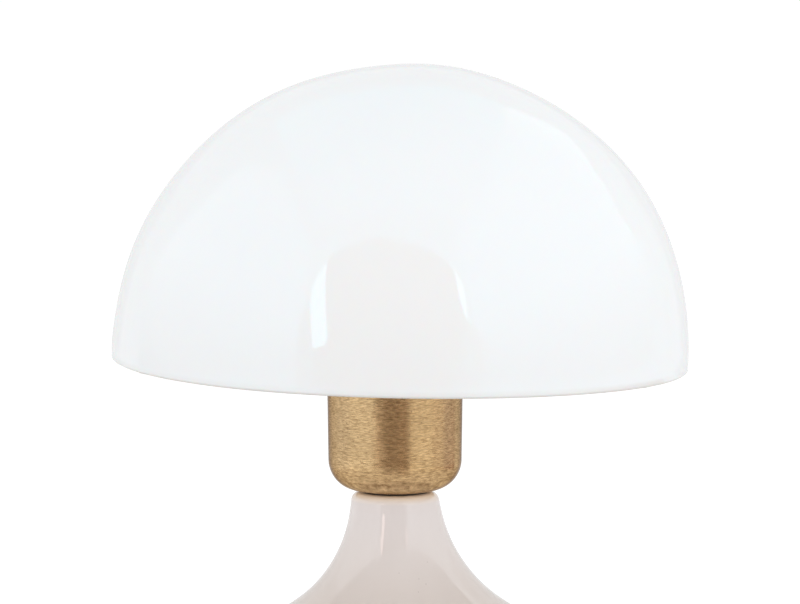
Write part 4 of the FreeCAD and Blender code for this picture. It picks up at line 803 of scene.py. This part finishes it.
lamps = [
    soft_lamp("left_lamp", (-1.25, -0.6, 0.35), 1.6, 1.6, 5.1),
    soft_lamp("right_lamp", (1.25, -0.7, 0.35), 1.6, 1.6, 6.6),
    soft_lamp("front_lamp", (0, -1.8, 0.35), 1.6, 0.8, 1.8),
    soft_lamp("ceiling_lamp", (0, -0.4, 2.2), 2.0, 2.0, 4.7),
]
power_in_all = sum(lamp.data.energy for lamp in lamps)
print("set", len(lamps), "lamps of", round(power_in_all, 1), "W in all")

# %% Make the white world
world = bpy.data.worlds.new("white_world")
bpy.context.scene.world = world
world.use_nodes = True
sky = world.node_tree.nodes["Background"]
sky.inputs["Color"].default_value = colour(1, 1, 1)
ambient_glow = 0.81


def seen_directly(tree):
    """1 for the camera and for what mirrors or glass show of the background, or else 0."""
    rays = add(tree, "ShaderNodeLightPath").outputs
    either = {0: rays["Is Camera Ray"], 1: rays["Is Glossy Ray"]}
    first = add(tree, "ShaderNodeMath", either, operation="MAXIMUM").outputs["Value"]
    any_ray = {0: first, 1: rays["Is Transmission Ray"]}
    return add(tree, "ShaderNodeMath", any_ray, operation="MAXIMUM").outputs["Value"]


level = spread(world.node_tree, seen_directly(world.node_tree), ambient_glow, 1.0, 0.0, 1.0)
world.node_tree.links.new(level, sky.inputs["Strength"])
print("the sky lights the lamp with", ambient_glow, "and shows as pure white")

# %% [markdown]
# ## The floor
#
# The lamp stands on white card, which runs out of the picture on all sides. The floor gets an
# extra glow only where it is looked at, so it comes out pure white and still takes the lamp's
# shadow. It lies a hair below the felt, so that the two never share a plane.

# %% Lay the floor
floor_glow = 0.36
floor_reach = 40.0
felt_gap = 0.2 * MM


def white_floor():
    made = bpy.data.materials.new("white_card")
    made.use_nodes = True
    tree = made.node_tree
    shader = tree.nodes["Principled BSDF"]
    shader.inputs["Base Color"].default_value = colour(0.80, 0.80, 0.80)
    shader.inputs["Roughness"].default_value = 0.9
    shader.inputs["Specular IOR Level"].default_value = 0.2
    shader.inputs["Emission Color"].default_value = colour(1, 1, 1)
    inputs = {0: seen_directly(tree), 1: floor_glow}
    lift = add(tree, "ShaderNodeMath", inputs, operation="MULTIPLY")
    tree.links.new(lift.outputs["Value"], shader.inputs["Emission Strength"])
    return made


floor_mesh = bpy.data.meshes.new("floor")
floor_corners = level_corners(floor_reach, -floor_reach, floor_reach, 0)
floor_mesh.from_pydata(floor_corners, [], [(0, 1, 2, 3)])
floor = bpy.data.objects.new("floor", floor_mesh)
floor.location.z = -felt_gap
bpy.context.scene.collection.objects.link(floor)
floor_mesh.materials.append(white_floor())
floor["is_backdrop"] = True
print("laid a floor", round(2 * floor_reach), "m wide")

# %% [markdown]
# ## Measure and finish
#
# The dressed lamp must be about as large as the frame, only two millimetres lower, because its
# dome sags. We measure the dressed lamp and print its size.

# %% Measure the dressed lamp and finish
bpy.context.scene.view_settings.view_transform = "Standard"
visual_low, visual_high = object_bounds()
dressed = [round(high - low, 4) for low, high in zip(visual_low, visual_high)]
print("the dressed lamp is", dressed, "m")
